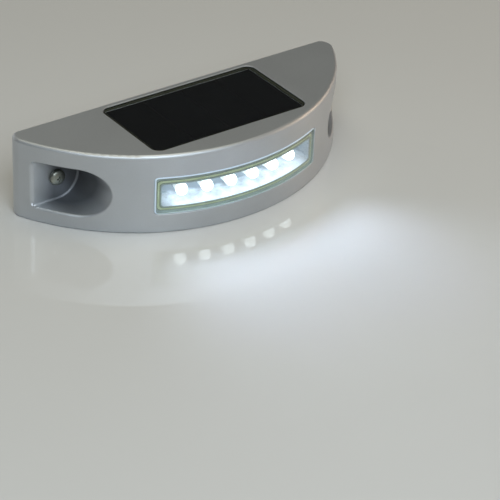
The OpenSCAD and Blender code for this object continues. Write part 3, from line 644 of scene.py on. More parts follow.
FINISHES = (
    (PocketShadedFinish("silver_paint", (0.585, 0.607, 0.63), (0.53, 0.552, 0.575), 0.51, 0.06, 0.9,
                   Grain.FLAKED, 0.22, 0.006, 30.0), ("housing",)),
    (ClearFinish("window_acrylic", (0.97, 0.98, 0.95), 0.02, 0.3), ("solar_window",)),
    (Finish("window_edge_olive", (0.014, 0.015, 0.009), (0.022, 0.023, 0.015), 0.2, 0.06,
            grain=Grain.SMOOTH), ()),
    # Painted light: the lens's rounded edge is coloured bright and glows, standing in for lamp light carried
    # to its edge.
    (Finish("lens_edge_lit", (0.7, 0.8, 0.9), (0.6, 0.71, 0.8), 0.3, 0.1,
            grain=Grain.SMOOTH, patch_mm=5.0, glow=0.12), ()),
    (Finish("lens_side_green", (0.26, 0.38, 0.29), (0.2, 0.28, 0.22), 0.3, 0.1,
            grain=Grain.SMOOTH, patch_mm=5.0), ()),
    (Finish("clear_adhesive", (0.03, 0.033, 0.022), (0.045, 0.048, 0.034), 0.35, 0.1,
            grain=Grain.SMOOTH), ("window_gasket",)),
    (SolarCellFinish("solar_cell_black"), ("solar_cells",)),
    (Finish("panel_board_black", (0.008, 0.009, 0.009), (0.014, 0.015, 0.014), 0.4, 0.1),
     ("solar_panel_board",)),
    (Finish("foam_tape", (0.5, 0.49, 0.46), (0.42, 0.41, 0.39), 0.85,
            grain=Grain.SPONGY, grain_mm=0.3, depth_mm=0.08), ("panel_tape",)),
    (ClearFinish("lens_acrylic", (0.95, 0.985, 0.95), 0.025), ("lens",)),
    # Painted light: the three frame finishes glow a little, standing in for the lamps' light falling on the
    # frame.
    (Finish("frame_cool_grey", (0.25, 0.31, 0.3), (0.16, 0.2, 0.2), 0.4, 0.1,
            grain=Grain.SMOOTH, patch_mm=6.0, glow=0.04), ("lens_gasket",)),
    (Finish("frame_olive", (0.33, 0.38, 0.22), (0.42, 0.47, 0.33), 0.4, 0.1,
            grain=Grain.SMOOTH, patch_mm=6.0, glow=0.04), ()),
    (Finish("frame_groove", (0.1, 0.12, 0.09), (0.14, 0.16, 0.13), 0.4, 0.1,
            grain=Grain.SMOOTH, patch_mm=6.0, glow=0.02), ()),
    (ReflectorFinish("reflector_bright"), ("reflector",)),
    (LedFinish("led_epoxy_lit"), tuple(f"led_{i}" for i in range(1, 7))),
    (BoardFinish("circuit_board_green", (0.01, 0.11, 0.035), (0.03, 0.2, 0.07)), ("circuit_board",)),
    (Finish("chip_epoxy", (0.018, 0.018, 0.02), (0.03, 0.03, 0.032), 0.45, 0.1), ("driver_ic", "resistors")),
    (Finish("ferrite", (0.05, 0.048, 0.046), (0.09, 0.085, 0.08), 0.6, 0.12, grain_mm=0.2, depth_mm=0.03),
     ("boost_inductor",)),
    (Finish("capacitor_film", (0.02, 0.025, 0.05), (0.03, 0.035, 0.07), 0.3, grain=Grain.SMOOTH),
     ("filter_capacitor",)),
    (Finish("zinc_screw", (0.6, 0.62, 0.56), (0.5, 0.52, 0.46), 0.24, 0.1, 1.0, Grain.SMOOTH, 0.25, 0.006),
     ("board_screws", "holder_screws", "base_screws", "switch_screws")),
    (Finish("wall_screw_zinc", (0.35, 0.36, 0.32), (0.27, 0.28, 0.24), 0.38, 0.1, 1.0,
            Grain.SMOOTH, 0.25, 0.01), ("mounting_screws",)),
    (CellSleeveFinish("battery_sleeve", 25.25), ("battery",)),
    (Finish("black_plastic", (0.016, 0.016, 0.017), (0.026, 0.026, 0.027), 0.52, 0.1,
            grain_mm=0.3, depth_mm=0.03), ("battery_holder", "base_cover")),
    (Finish("plated_steel", (0.7, 0.7, 0.68), (0.6, 0.6, 0.58), 0.25, 0.1, 1.0, Grain.BRUSHED, 0.1, 0.004),
     ("contact_positive", "contact_negative", "contact_spring", "switch_body")),
    (Finish("seal_rubber", (0.03, 0.03, 0.03), (0.05, 0.05, 0.048), 0.75, 0.1, grain_mm=0.25, depth_mm=0.02),
     ("base_seal",)),
    (Finish("knob_plastic", (0.02, 0.02, 0.022), (0.035, 0.035, 0.037), 0.4, 0.1), ("switch_slider",)),
    (Finish("brass", (0.75, 0.58, 0.27), (0.66, 0.5, 0.22), 0.28, 0.1, 1.0, Grain.BRUSHED, 0.1, 0.004),
     ("switch_terminals",)),
    (Finish("lead_red", (0.5, 0.02, 0.015), (0.4, 0.015, 0.012), 0.4, grain=Grain.SMOOTH),
     ("panel_lead_red", "battery_lead_red", "switch_lead_in")),
    (Finish("lead_black", (0.015, 0.015, 0.016), (0.025, 0.025, 0.026), 0.4, grain=Grain.SMOOTH),
     ("panel_lead_black", "battery_lead_black")),
    (Finish("lead_white", (0.75, 0.75, 0.72), (0.66, 0.66, 0.63), 0.42, grain=Grain.SMOOTH),
     ("switch_lead_out",)),
)


class Paintbox:
    """The materials, made once each, by the CAD node that they dress."""

    def __init__(self) -> None:
        """Makes every material and files it under its name and its CAD nodes."""
        self.by_node: Dict[str, bpy.types.Material] = {}
        self.by_name: Dict[str, bpy.types.Material] = {}
        for finish, nodes in FINISHES:
            material = finish.material()
            self.by_name[finish.name] = material
            for node in nodes:
                self.by_node[node] = material

    def dress_frame(self) -> None:
        """Puts each material on its CAD node."""
        for name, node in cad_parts.items():
            for slot in node.material_slots:
                slot.material = self.by_node[name]
            LOG.info("dressed %s in %s", name, self.by_node[name].name)


# Mesh work


class Workshop:
    """Mesh tools that the sub-assemblies share. Lengths are in millimetres until a piece is made."""

    @staticmethod
    def enter(name: str, data: bpy.types.ID) -> Item:
        """Puts a new object in the scene.

        Args:
            name: its name.
            data: its mesh, lamp or camera.

        Returns:
            The object.
        """
        item = bpy.data.objects.new(name, data)
        bpy.context.scene.collection.objects.link(item)
        return item

    @staticmethod
    def piece(mesh: bmesh.types.BMesh, name: str, smooth_under: float = 35.0) -> Item:
        """Makes an object from a mesh drawn in millimetres.

        Args:
            mesh: the mesh, which is freed.
            name: the piece's name.
            smooth_under: edges that turn less than this many degrees are shaded smooth.

        Returns:
            The new object, in metres.
        """
        bmesh.ops.recalc_face_normals(mesh, faces=mesh.faces)
        bmesh.ops.scale(mesh, vec=(MM, MM, MM), verts=mesh.verts)
        data = bpy.data.meshes.new(name)
        mesh.to_mesh(data)
        mesh.free()
        item = Workshop.enter(name, data)
        Workshop.shade(item, smooth_under)
        return item

    @staticmethod
    def shade(item: Item, smooth_under: float) -> None:
        """Shades a piece smooth, but for edges that turn more than this many degrees."""
        item.data.shade_smooth()
        item.data.set_sharp_from_angle(angle=math.radians(smooth_under))

    @staticmethod
    def coat(item: Item, *materials: bpy.types.Material) -> None:
        """Gives a piece its materials, in the order of its slots."""
        for material in materials:
            item.data.materials.append(material)

    @staticmethod
    def settle(item: Item) -> None:
        """Applies the modifiers of a piece.

        Args:
            item: the piece.
        """
        graph = bpy.context.evaluated_depsgraph_get()
        done = bpy.data.meshes.new_from_object(item.evaluated_get(graph), depsgraph=graph)
        item.modifiers.clear()
        item.data = done

    @staticmethod
    def combine(item: Item, tool: Item, how: Join, crossing: bool = False) -> None:
        """Cuts a tool out of a piece or adds it, and removes the tool.

        Args:
            item: the piece.
            tool: the other solid.
            how: cut or add.
            crossing: whether the tool's own parts cross.
        """
        step = item.modifiers.new("join", "BOOLEAN")
        step.operation = how.value
        step.solver = "MANIFOLD"
        step.use_self = crossing
        step.object = tool
        Workshop.settle(item)
        bpy.data.objects.remove(tool)

    @staticmethod
    def join_flats(item: Item) -> None:
        """Joins faces that lie in one plane, so that the shading isn't drawn from slivers.

        Args:
            item: the piece.
        """
        mesh = bmesh.new()
        mesh.from_mesh(item.data)
        bmesh.ops.dissolve_limit(mesh, angle_limit=math.radians(0.1), verts=mesh.verts, edges=mesh.edges)
        mesh.to_mesh(item.data)
        mesh.free()

    @staticmethod
    def even_normals(item: Item) -> None:
        """Weights the shading towards the large faces, so that flats look flat beside their roundings.

        Args:
            item: the piece.
        """
        step = item.modifiers.new("even", "WEIGHTED_NORMAL")
        step.keep_sharp = True
        step.weight = 50
        Workshop.settle(item)

    @staticmethod
    def true_normals(item: Item, skin: Callable[[Vector], Optional[Vector]], within: float = 20.0) -> None:
        """Gives the corners on a known surface its own direction, so that a highlight runs along it evenly.

        Args:
            item: the piece.
            skin: the surface's outward direction at a point in millimetres, or nothing off the surface.
            within: how far a face may turn from that direction and still belong to the surface, in degrees.
        """
        data = item.data
        on_skin = [skin(vertex.co / MM) for vertex in data.vertices]
        corners = [corner.vector.copy() for corner in data.corner_normals]
        limit = math.radians(within)
        for face in data.polygons:
            for place in face.loop_indices:
                true = on_skin[data.loops[place].vertex_index]
                if true is not None and true.angle(face.normal) < limit:
                    corners[place] = true
        data.normals_split_custom_set(corners)

    @staticmethod
    def bridge(mesh: bmesh.types.BMesh, rings: Sequence[Sequence[bmesh.types.BMVert]],
               closed: bool = False) -> None:
        """Joins rings of points by bands of faces.

        Args:
            mesh: the mesh.
            rings: the rings, in order, each with the same number of points.
            closed: whether the last ring joins the first.
        """
        pairs = list(zip(rings, rings[1:])) + ([(rings[-1], rings[0])] if closed else [])
        for first, second in pairs:
            count = len(first)
            for i in range(count):
                j = (i + 1) % count
                mesh.faces.new((first[i], first[j], second[j], second[i]))

    @staticmethod
    def turned(profile: Sequence[Point2], place: Callable[[float, float, float], Vector], steps: int,
               radius_at: Optional[Callable[[float, float, float], float]] = None) -> bmesh.types.BMesh:
        """A turned solid.

        Args:
            profile: radius and height, from end to end, both ends on the axis or capped.
            place: the place of a radius, an angle and a height.
            steps: points round the turn.
            radius_at: changes a radius by its angle and height, as a thread does.

        Returns:
            The solid.
        """
        mesh = bmesh.new()
        rings = []
        for radius, height in profile:
            ring = []
            for i in range(steps):
                angle = math.tau * i / steps
                real = radius_at(radius, angle, height) if radius_at else radius
                ring.append(mesh.verts.new(place(real, angle, height)))
            rings.append(ring)
        Workshop.bridge(mesh, rings)
        mesh.faces.new(rings[0])
        mesh.faces.new(rings[-1])
        return mesh


@dataclass(frozen=True)
class Station:
    """A point of an edge: its place, the outward normals of the two faces there, and the rounding."""

    point: Vector
    face_a: Vector
    face_b: Vector
    radius: float


@dataclass(frozen=True)
class EdgeRounder:
    """Makes the solid that rounds an edge: what a rounding leaves off or fills in, swept along it."""

    kind: Rounding
    steps: int = 7
    short_of_tangent: float = 10.0
    run_out: float = 0.35
    margin: float = 0.6

    def section(self, mesh: bmesh.types.BMesh, station: Station) -> List[bmesh.types.BMVert]:
        """The closed section at one station.

        Args:
            mesh: the mesh that gets its points.
            station: the station.

        Returns:
            The points in order.
        """
        a, b, r = station.face_a, station.face_b, station.radius
        sign = self.kind.value
        centre = station.point - sign * (a + b) * (r / (1 + a.dot(b)))
        turn = a.angle(b)
        cut = math.radians(self.short_of_tangent)

        def on_arc(angle: float) -> Vector:
            """The arc's direction at an angle from face a's normal."""
            return (a * math.sin(turn - angle) + b * math.sin(angle)) / math.sin(turn)

        angles = [cut + (turn - 2 * cut) * i / (self.steps - 1) for i in range(self.steps)]
        arc = [centre + sign * r * on_arc(angle) for angle in angles]
        first_way = (arc[0] - arc[1]).normalized()
        last_way = (arc[-1] - arc[-2]).normalized()
        start, end = arc[0] + first_way * r * self.run_out, arc[-1] + last_way * r * self.run_out
        out = self.margin * r * sign
        corner = station.point + (a + b) * out
        points = [start + a * out, start, *arc, end, end + b * out, corner]
        return [mesh.verts.new(p) for p in points]

    def solid(self, stations: Sequence[Station], closed: bool) -> Item:
        """Sweeps the sections along the stations.

        Args:
            stations: the edge's stations in order.
            closed: whether the edge is a loop.

        Returns:
            The solid.
        """
        mesh = bmesh.new()
        rings = [self.section(mesh, station) for station in stations]
        Workshop.bridge(mesh, rings, closed)
        if not closed:
            mesh.faces.new(rings[0])
            mesh.faces.new(rings[-1])
        bmesh.ops.triangulate(mesh, faces=mesh.faces)
        return Workshop.piece(mesh, "rounding")


@dataclass(frozen=True)
class RoundedRectangle:
    """A rectangle with round corners, as a loop of points with the outward direction at each."""

    half_width: float
    half_height: float
    corner: float
    corner_steps: int = 8
    columns: int = 54

    def upper_corner(self, turn: int) -> List[Tuple[Point2, Point2]]:
        """One upper corner.

        Args:
            turn: 0 for the right corner, 1 for the left.

        Returns:
            A place and an outward direction for each point.
        """
        points = []
        x, y = (self.half_width - self.corner) * (1 - 2 * turn), self.half_height - self.corner
        for i in range(self.corner_steps + 1):
            angle = math.pi / 2 * (turn + i / self.corner_steps)
            way = (math.cos(angle), math.sin(angle))
            points.append(((x + self.corner * way[0], y + self.corner * way[1]), way))
        return points

    def stations(self) -> List[Tuple[Point2, Point2]]:
        """The loop, counter-clockwise from the right side's upper end.

        Returns:
            A place and an outward direction for each point, with a column below each top point.
        """
        straight = self.half_width - self.corner
        top = self.upper_corner(0)
        for i in range(1, self.columns):
            top.append(((straight * (1 - 2 * i / self.columns), self.half_height), (0.0, 1.0)))
        top += self.upper_corner(1)
        return top + [((x, -y), (u, -v)) for (x, y), (u, v) in reversed(top)]

    def inset(self, by: float) -> "RoundedRectangle":
        """The same loop drawn inwards, with the same points in the same order."""
        return self.resized(self.half_width - by, self.half_height - by, self.corner - by)

    def towards(self, other: "RoundedRectangle", share: float) -> "RoundedRectangle":
        """A loop between this one and another, with the same points in the same order.

        Args:
            other: the other loop.
            share: 0 for this one, 1 for the other.

        Returns:
            The loop between them.
        """
        return self.resized(self.half_width + (other.half_width - self.half_width) * share,
                            self.half_height + (other.half_height - self.half_height) * share,
                            self.corner + (other.corner - self.corner) * share)

    def resized(self, half_width: float, half_height: float, corner: float) -> "RoundedRectangle":
        """The same loop at another size."""
        return replace(self, half_width=half_width, half_height=half_height, corner=corner)


@dataclass(frozen=True)
class PaneMaker:
    """A pane with a rounded outer edge: loops from face to face, closed by strips that run across."""

    outline: RoundedRectangle
    inner: float
    outer: float
    edge: float
    place: Callable[[float, float, float], Vector]
    side_slot: int = 1
    edge_slot: int = 1
    edge_steps: int = 5

    def levels(self) -> List[Point2]:
        """The loops from the inner face to the outer.

        Returns:
            The inset and the level of each.
        """
        inwards = math.copysign(self.edge, self.inner - self.outer)
        levels = [(0.0, self.inner)]
        for i in range(self.edge_steps + 1):
            angle = math.pi / 2 * i / self.edge_steps
            levels.append((self.edge * (1 - math.cos(angle)), self.outer + inwards * (1 - math.sin(angle))))
        return levels

    def mesh(self) -> bmesh.types.BMesh:
        """Draws the pane.

        Returns:
            The solid.
        """
        mesh = bmesh.new()
        rings = []
        for inset, level in self.levels():
            loop = self.outline.inset(inset).stations()
            rings.append([mesh.verts.new(self.place(x, y, level)) for (x, y), _ in loop])
        Workshop.bridge(mesh, rings)
        for number, face in enumerate(mesh.faces):
            face.material_index = self.side_slot if number < len(rings[0]) else self.edge_slot
        for ring in (rings[0], rings[-1]):
            last = len(ring) - 1
            for i in range(len(ring) // 2 - 1):
                mesh.faces.new((ring[i], ring[i + 1], ring[last - i - 1], ring[last - i]))
        return mesh


# Sub-assemblies


@dataclass
class HousingShell:
    """The painted housing, with the rims of its screw pockets, window and lens openings softly rounded."""

    pocket_radius: float = 10.5
    top_edge: float = 1.6
    bottom_edge: float = 1.0
    tip_margin: float = 0.25
    rim_round: float = 1.2
    rim_full_depth: float = 2.4
    floor_round: float = 1.2
    floor_full_depth: float = 2.6
    tip_round: float = 3.2
    tip_span: float = 0.99
    tip_least: float = 0.15
    tip_full_length: float = 2.4
    window: RoundedRectangle = RoundedRectangle(38.15, 21.15, 4.15)
    window_round: float = 0.35
    lens: RoundedRectangle = RoundedRectangle(40.15, 8.65, 1.65)
    lens_round: float = 0.3
    run_steps: int = 14
    turn_steps: int = 40
    tip_steps: int = 24
    skin_within: float = 0.03
    weld: float = 0.002
    smooth_under: float = 32.0

    def tip_x(self) -> float:
        """Where the pocket's floor meets the bowed front."""
        return math.sqrt(PLAN.radius ** 2 - (PLAN.centre_y - PLAN.pocket_floor_y) ** 2)

    def pocket_path(self) -> List[Tuple[float, float, Vector]]:
        """The right pocket's outline from the tip, round the inner end and back.

        Returns:
            x, z and the wall's direction into the pocket for each point.
        """
        reach, middle, radius = self.tip_x() - self.tip_margin, PLAN.screw_z, self.pocket_radius
        run = [reach + (PLAN.screw_x - reach) * i / self.run_steps for i in range(self.run_steps)]
        path = [(x, middle + radius, Vector((0, 0, -1))) for x in run]
        for i in range(self.turn_steps + 1):
            angle = math.pi * (0.5 + i / self.turn_steps)
            way = Vector((math.cos(angle), 0, math.sin(angle)))
            path.append((PLAN.screw_x + radius * way.x, middle + radius * way.z, -way))
        path += [(x, middle - radius, Vector((0, 0, 1))) for x in reversed(run)]
        return path

    def faded(self, x: float, radius: float, full_depth: float) -> float:
        """A rounding at x, which fades where the pocket isn't as deep as that."""
        return radius * min(1.0, (PLAN.pocket_floor_y - PLAN.front_y(x)) / full_depth)

    def pocket_rim(self) -> List[Station]:
        """The mouth edge of the right pocket.

        Returns:
            The stations along the pocket's outline.
        """
        return [Station(Vector((x, PLAN.front_y(x), z)), PLAN.front_normal(x), wall,
                        self.faded(x, self.rim_round, self.rim_full_depth))
                for x, z, wall in self.pocket_path()]

    def pocket_floor_corner(self) -> List[Station]:
        """The corner between the right pocket's wall and its floor.

        Returns:
            The stations along the pocket's outline.
        """
        return [Station(Vector((x, PLAN.pocket_floor_y, z)), wall, Vector((0, -1, 0)),
                        self.faded(x, self.floor_round, self.floor_full_depth))
                for x, z, wall in self.pocket_path()]

    def tip_edge(self) -> List[Station]:
        """The edge between the right pocket's floor and the bowed front.

        Returns:
            The stations from the bottom up, with a rounding that fades at both ends.
        """
        stations = []
        x = self.tip_x()
        for i in range(self.tip_steps + 1):
            share = i / self.tip_steps
            z = PLAN.screw_z + self.pocket_radius * self.tip_span * (2 * share - 1)
            from_end = min(share, 1 - share) * 2 * self.pocket_radius
            radius = self.tip_round * min(1.0, self.tip_least + from_end / self.tip_full_length)
            point = Vector((x, PLAN.pocket_floor_y, z))
            stations.append(Station(point, PLAN.front_normal(x), Vector((0, -1, 0)), radius))
        return stations

    @staticmethod
    def mirrored(stations: Sequence[Station]) -> List[Station]:
        """The same edge at the left end.

        Args:
            stations: the edge at the right end.

        Returns:
            The stations with their x turned round.
        """
        def flip(v: Vector) -> Vector:
            """Turns a vector's x round."""
            return Vector((-v.x, v.y, v.z))
        return [Station(flip(s.point), flip(s.face_a), flip(s.face_b), s.radius) for s in stations]

    def skin(self, point: Vector) -> Optional[Vector]:
        """The outward direction of the bowed front, its tips and their rounded edges.

        Args:
            point: a point of the shell, in millimetres.

        Returns:
            The direction, or nothing where the point is elsewhere.
        """
        over, under = point.z - (PLAN.height - self.top_edge), point.z - self.bottom_edge
        rise = max(over, 0.0) / self.top_edge + min(under, 0.0) / self.bottom_edge
        level = math.sqrt(max(0.0, 1 - rise ** 2))
        inset = (1 - level) * (self.top_edge if rise > 0 else self.bottom_edge)
        tip_x, tip_y = PLAN.length / 2 - PLAN.tip_radius, PLAN.back_y - PLAN.tip_set
        tips = [(side * tip_x, tip_y, PLAN.tip_radius) for side in (1, -1)]
        for x, y, radius in [(0.0, PLAN.centre_y, PLAN.radius)] + tips:
            out = Vector((point.x - x, point.y - y, 0.0))
            if abs(out.length - (radius - inset)) < self.skin_within:
                return out.normalized() * level + Vector((0, 0, rise))
        return None

    def window_rim(self) -> List[Station]:
        """The upper edge of the window's recess."""
        return [Station(Vector((x, PLAN.window_y + y, PLAN.height)), Vector((0, 0, 1)), Vector((-u, -v, 0)),
                        self.window_round) for (x, y), (u, v) in self.window.stations()]

    def lens_rim(self) -> List[Station]:
        """The front edge of the lens's opening."""
        return [Station(Vector((x, PLAN.front_y(x), PLAN.lens_middle + z)), PLAN.front_normal(x),
                        Vector((-u, 0, -v)), self.lens_round) for (x, z), (u, v) in self.lens.stations()]

    def build(self, paint: Paintbox) -> Item:
        """Makes the shell.

        Args:
            paint: the materials.

        Returns:
            The finished piece.
        """
        mesh = bmesh.new()
        mesh.from_mesh(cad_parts["housing"].data)
        bmesh.ops.remove_doubles(mesh, verts=mesh.verts, dist=self.weld * MM)
        bmesh.ops.scale(mesh, vec=(1 / MM,) * 3, verts=mesh.verts)
        shell = Workshop.piece(mesh, "housing_shell")
        fill, trim = EdgeRounder(Rounding.INNER_CORNER), EdgeRounder(Rounding.OUTER_EDGE)
        for side in (list, self.mirrored):
            Workshop.combine(shell, fill.solid(side(self.pocket_floor_corner()), False), Join.ADD)
            Workshop.combine(shell, trim.solid(side(self.pocket_rim()), False), Join.CUT)
            Workshop.combine(shell, trim.solid(side(self.tip_edge()), False), Join.CUT)
        for rim in (self.window_rim(), self.lens_rim()):
            Workshop.combine(shell, trim.solid(rim, True), Join.CUT)
        Workshop.join_flats(shell)
        Workshop.shade(shell, self.smooth_under)
        Workshop.even_normals(shell)
        Workshop.true_normals(shell, self.skin)
        shell.data.materials.clear()
        Workshop.coat(shell, paint.by_node["housing"])
        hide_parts("housing")
        return shell


@dataclass
class SolarWindow:
    """The clear window over the cells, with a softly rounded upper edge."""

    outline: RoundedRectangle = RoundedRectangle(38.0, 21.0, 4.0)
    under: float = 34.2
    top: float = 35.8
    edge: float = 0.35

    def place(self, x: float, y: float, z: float) -> Vector:
        """A point of the pane, with y from the window's middle."""
        return Vector((x, PLAN.window_y + y, z))

    def build(self, paint: Paintbox) -> Item:
        """Makes the window.

        Args:
            paint: the materials.

        Returns:
            The finished piece.
        """
        pane = PaneMaker(self.outline, self.under, self.top, self.edge, self.place)
        item = Workshop.piece(pane.mesh(), "solar_window_pane")
        Workshop.even_normals(item)
        Workshop.coat(item, paint.by_node["solar_window"], paint.by_name["window_edge_olive"])
        item.visible_shadow = False
        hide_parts("solar_window")
        return item


@dataclass
class BowedLens:
    """The clear lens that follows the bowed front, with rounded front edges."""

    outline: RoundedRectangle = RoundedRectangle(40.0, 8.5, 1.5)
    front: float = 0.01
    thickness: float = 2.0
    edge: float = 0.42

    def place(self, x: float, z: float, under: float) -> Vector:
        """A point of the pane at that depth behind the bowed front."""
        return Vector((x, PLAN.front_y(x, under), PLAN.lens_middle + z))

    def build(self, paint: Paintbox) -> Item:
        """Makes the lens.

        Args:
            paint: the materials.

        Returns:
            The finished piece.
        """
        pane = PaneMaker(self.outline, self.thickness, self.front, self.edge, self.place, side_slot=2)
        item = Workshop.piece(pane.mesh(), "lens_pane")
        # The rounded edge takes the bright, glowing edge finish: painted light.
        Workshop.coat(item, paint.by_node["lens"], paint.by_name["lens_edge_lit"],
                      paint.by_name["lens_side_green"])
        item.visible_shadow = False
        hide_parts("lens")
        return item


@dataclass
class LensFrame:
    """The pale moulded frame between the lens and the reflector, with two fine grooves that run round it.

    Each strip has its start and end, as shares of the way from the outside to the mouth, and its slot.
    """

    outside: RoundedRectangle = RoundedRectangle(39.9, 8.4, 1.4)
    mouth: RoundedRectangle = RoundedRectangle(36.6, 5.1, 1.5)
    front: float = 2.03
    groove: float = 2.2
    back: float = 2.38
    strips: Tuple[Tuple[float, float, int], ...] = ((0.0, 0.48, 0), (0.55, 0.78, 1), (0.85, 1.0, 0))
    groove_slot: int = 2
    groove_slope: float = 0.01

    def profile(self) -> List[Tuple[float, float, int]]:
        """The section from the outside to the mouth.

        Returns:
            The share of the way in, the depth behind the bowed front and the slot of the band that follows.
        """
        points = [(0.0, self.back, 0)]
        for number, (start, end, slot) in enumerate(self.strips):
            points.append((start, self.front, slot))
            points.append((end, self.front, self.groove_slot))
            if number < len(self.strips) - 1:
                following = self.strips[number + 1][0]
                points.append((end + self.groove_slope, self.groove, self.groove_slot))
                points.append((following - self.groove_slope, self.groove, self.groove_slot))
        points.append((1.0, self.back, 0))
        return points

    def build(self, paint: Paintbox) -> Item:
        """Makes the frame.

        Args:
            paint: the materials.

        Returns:
            The finished piece.
        """
        mesh = bmesh.new()
        profile = self.profile()
        rings = []
        for share, under, _ in profile:
            loop = self.outside.towards(self.mouth, share).stations()
            level = PLAN.lens_middle + (PLAN.lamp_level - PLAN.lens_middle) * share
            rings.append([mesh.verts.new((x, PLAN.front_y(x, under), level + z)) for (x, z), _ in loop])
        for number, (_, _, slot) in enumerate(profile):
            first = len(mesh.faces)
            Workshop.bridge(mesh, (rings[number], rings[(number + 1) % len(rings)]))
            mesh.faces.ensure_lookup_table()
            for face in mesh.faces[first:]:
                face.material_index = slot
        item = Workshop.piece(mesh, "lens_frame")
        # All three finishes glow a little: painted light.
        Workshop.coat(item, paint.by_name["frame_cool_grey"], paint.by_name["frame_olive"],
                      paint.by_name["frame_groove"])
        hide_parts("lens_gasket")
        return item


@dataclass
class WallScrews:
    """The two wall screws: domed heads with cross recesses, plain shanks and threaded ends.

    Each level of the recess has a share of its full size and its depth below the crown.
    """

    head_radius: float = 3.45
    head_height: float = 2.5
    rim_height: float = 0.9
    rim_bevel: float = 0.15
    crown_radius: float = 0.02
    dome_power: float = 0.9
    dome_steps: int = 12
    head_steps: int = 56
    shank: float = 1.5
    into_head: float = 0.2
    thread_from: float = 28.0
    short_of_thread: float = 0.01
    thread_to: float = 37.4
    point_y: float = 41.4
    point_radius: float = 0.25
    crest: float = 2.0
    root: float = 1.45
    pitch: float = 1.6
    flank_share: float = 0.32
    slice_length: float = 0.1
    body_steps: int = 36
    recess_levels: Tuple[Point2, ...] = ((1.0, -0.3), (0.9, 0.4), (0.35, 0.7))
    recess_arm: float = 1.3
    recess_width: float = 0.6
    recess_narrowest: float = 0.7
    smooth_under: float = 38.0

    def head_profile(self) -> List[Point2]:
        """The head from its crown to its seat.

        Returns:
            The radius and depth of each point.
        """
        points = [(self.crown_radius, 0.0)]
        for i in range(1, self.dome_steps + 1):
            angle = math.pi / 2 * i / self.dome_steps
            points.append((self.head_radius * math.sin(angle) ** self.dome_power,
                           (self.head_height - self.rim_height) * (1 - math.cos(angle) ** self.dome_power)))
        points.append((self.head_radius, self.head_height - self.rim_bevel))
        points.append((self.head_radius - self.rim_bevel, self.head_height))
        return points

    def thread_radius(self, radius: float, angle: float, height: float) -> float:
        """The radius of the threaded end at an angle and a depth.

        Args:
            radius: the crest radius there.
            angle: the angle round the axis.
            height: the place along the axis, from the seat.

        Returns:
            The thread's radius.
        """
        if height < self.thread_from - PLAN.pocket_floor_y:
            return radius
        phase = (height / self.pitch - angle / math.tau) % 1.0
        tooth = max(0.0, 1.0 - abs(phase - 0.5) / self.flank_share)
        return radius * (self.root / self.crest + (1 - self.root / self.crest) * tooth)

    def body_profile(self) -> List[Point2]:
        """The shank and thread from the seat to the point.

        Returns:
            The radius and depth of each point.
        """
        start, end, tip = (y - PLAN.pocket_floor_y for y in (self.thread_from, self.thread_to, self.point_y))
        points = [(self.shank, -self.into_head), (self.shank, start - self.short_of_thread)]
        count = round((tip - start) / self.slice_length)
        for i in range(count + 1):
            depth = start + (tip - start) * i / count
            taper = 1.0 if depth < end else 1 - (depth - end) / (tip - end)
            points.append((max(self.point_radius, self.crest * taper), depth))
        return points

    def recess(self, x: float) -> Item:
        """The cross recess to cut from a head.

        Args:
            x: the screw's place.

        Returns:
            The cutter: two bars that cross.
        """
        mesh = bmesh.new()
        crown = PLAN.pocket_floor_y - self.head_height
        for turn in (0.0, math.pi / 2):
            along, across = math.cos(turn), math.sin(turn)
            rings = []
            for share, depth in self.recess_levels:
                narrowed = self.recess_narrowest + (1 - self.recess_narrowest) * share
                arm, half = self.recess_arm * share, self.recess_width / 2 * narrowed
                corners = ((arm, half), (-arm, half), (-arm, -half), (arm, -half))
                rings.append([mesh.verts.new((x + u * along - v * across, crown + depth,
                                              PLAN.screw_z + u * across + v * along)) for u, v in corners])
            Workshop.bridge(mesh, rings)
            mesh.faces.new(rings[0])
            mesh.faces.new(rings[-1])
        return Workshop.piece(mesh, "recess")

    @staticmethod
    def around(x: float, start: float) -> Callable[[float, float, float], Vector]:
        """Where a radius, an angle and a depth from the start are, on the axis of the screw at x."""
        return lambda r, turn, depth: Vector((x + r * math.cos(turn), start + depth,
                                              PLAN.screw_z + r * math.sin(turn)))

    def one(self, x: float) -> Item:
        """Makes one screw.

        Args:
            x: its place.

        Returns:
            The screw.
        """
        seat = PLAN.pocket_floor_y
        head = Workshop.turned(self.head_profile(), self.around(x, seat - self.head_height), self.head_steps)
        item = Workshop.piece(head, "wall_screw")
        Workshop.combine(item, self.recess(x), Join.CUT, crossing=True)
        body = Workshop.turned(self.body_profile(), self.around(x, seat), self.body_steps, self.thread_radius)
        Workshop.combine(item, Workshop.piece(body, "shank"), Join.ADD)
        Workshop.shade(item, self.smooth_under)
        return item

    def build(self, paint: Paintbox) -> Item:
        """Makes both screws as one piece.

        Args:
            paint: the materials.

        Returns:
            The finished piece.
        """
        pair = [self.one(side * PLAN.screw_x) for side in (-1, 1)]
        mesh = bmesh.new()
        for screw in pair:
            mesh.from_mesh(screw.data)
            bpy.data.objects.remove(screw)
        bmesh.ops.scale(mesh, vec=(1 / MM,) * 3, verts=mesh.verts)
        item = Workshop.piece(mesh, "wall_screws", self.smooth_under)
        Workshop.coat(item, paint.by_node["mounting_screws"])
        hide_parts("mounting_screws")
        return item


# Studio and camera


@dataclass(frozen=True)
class Lamp:
    """A soft lamp that the camera doesn't see. Places and sizes are in metres, its power is in watts."""

    name: str
    place: Sequence[float]
    size: Point2
    power: float
    colour: Colour
    aim: Sequence[float] = (0, 0, 0.015)

    def hang(self) -> Item:
        """Puts the lamp in the scene.

        Returns:
            The lamp.
        """
        data = bpy.data.lights.new(self.name, "AREA")
        data.shape = "RECTANGLE"
        data.size, data.size_y = self.size
        data.energy = self.power
        data.color = self.colour
        item = Workshop.enter(self.name, data)
        item.location = self.place
        item.rotation_euler = (Vector(self.aim) - Vector(self.place)).to_track_quat("-Z", "Y").to_euler()
        item.visible_camera = False
        return item


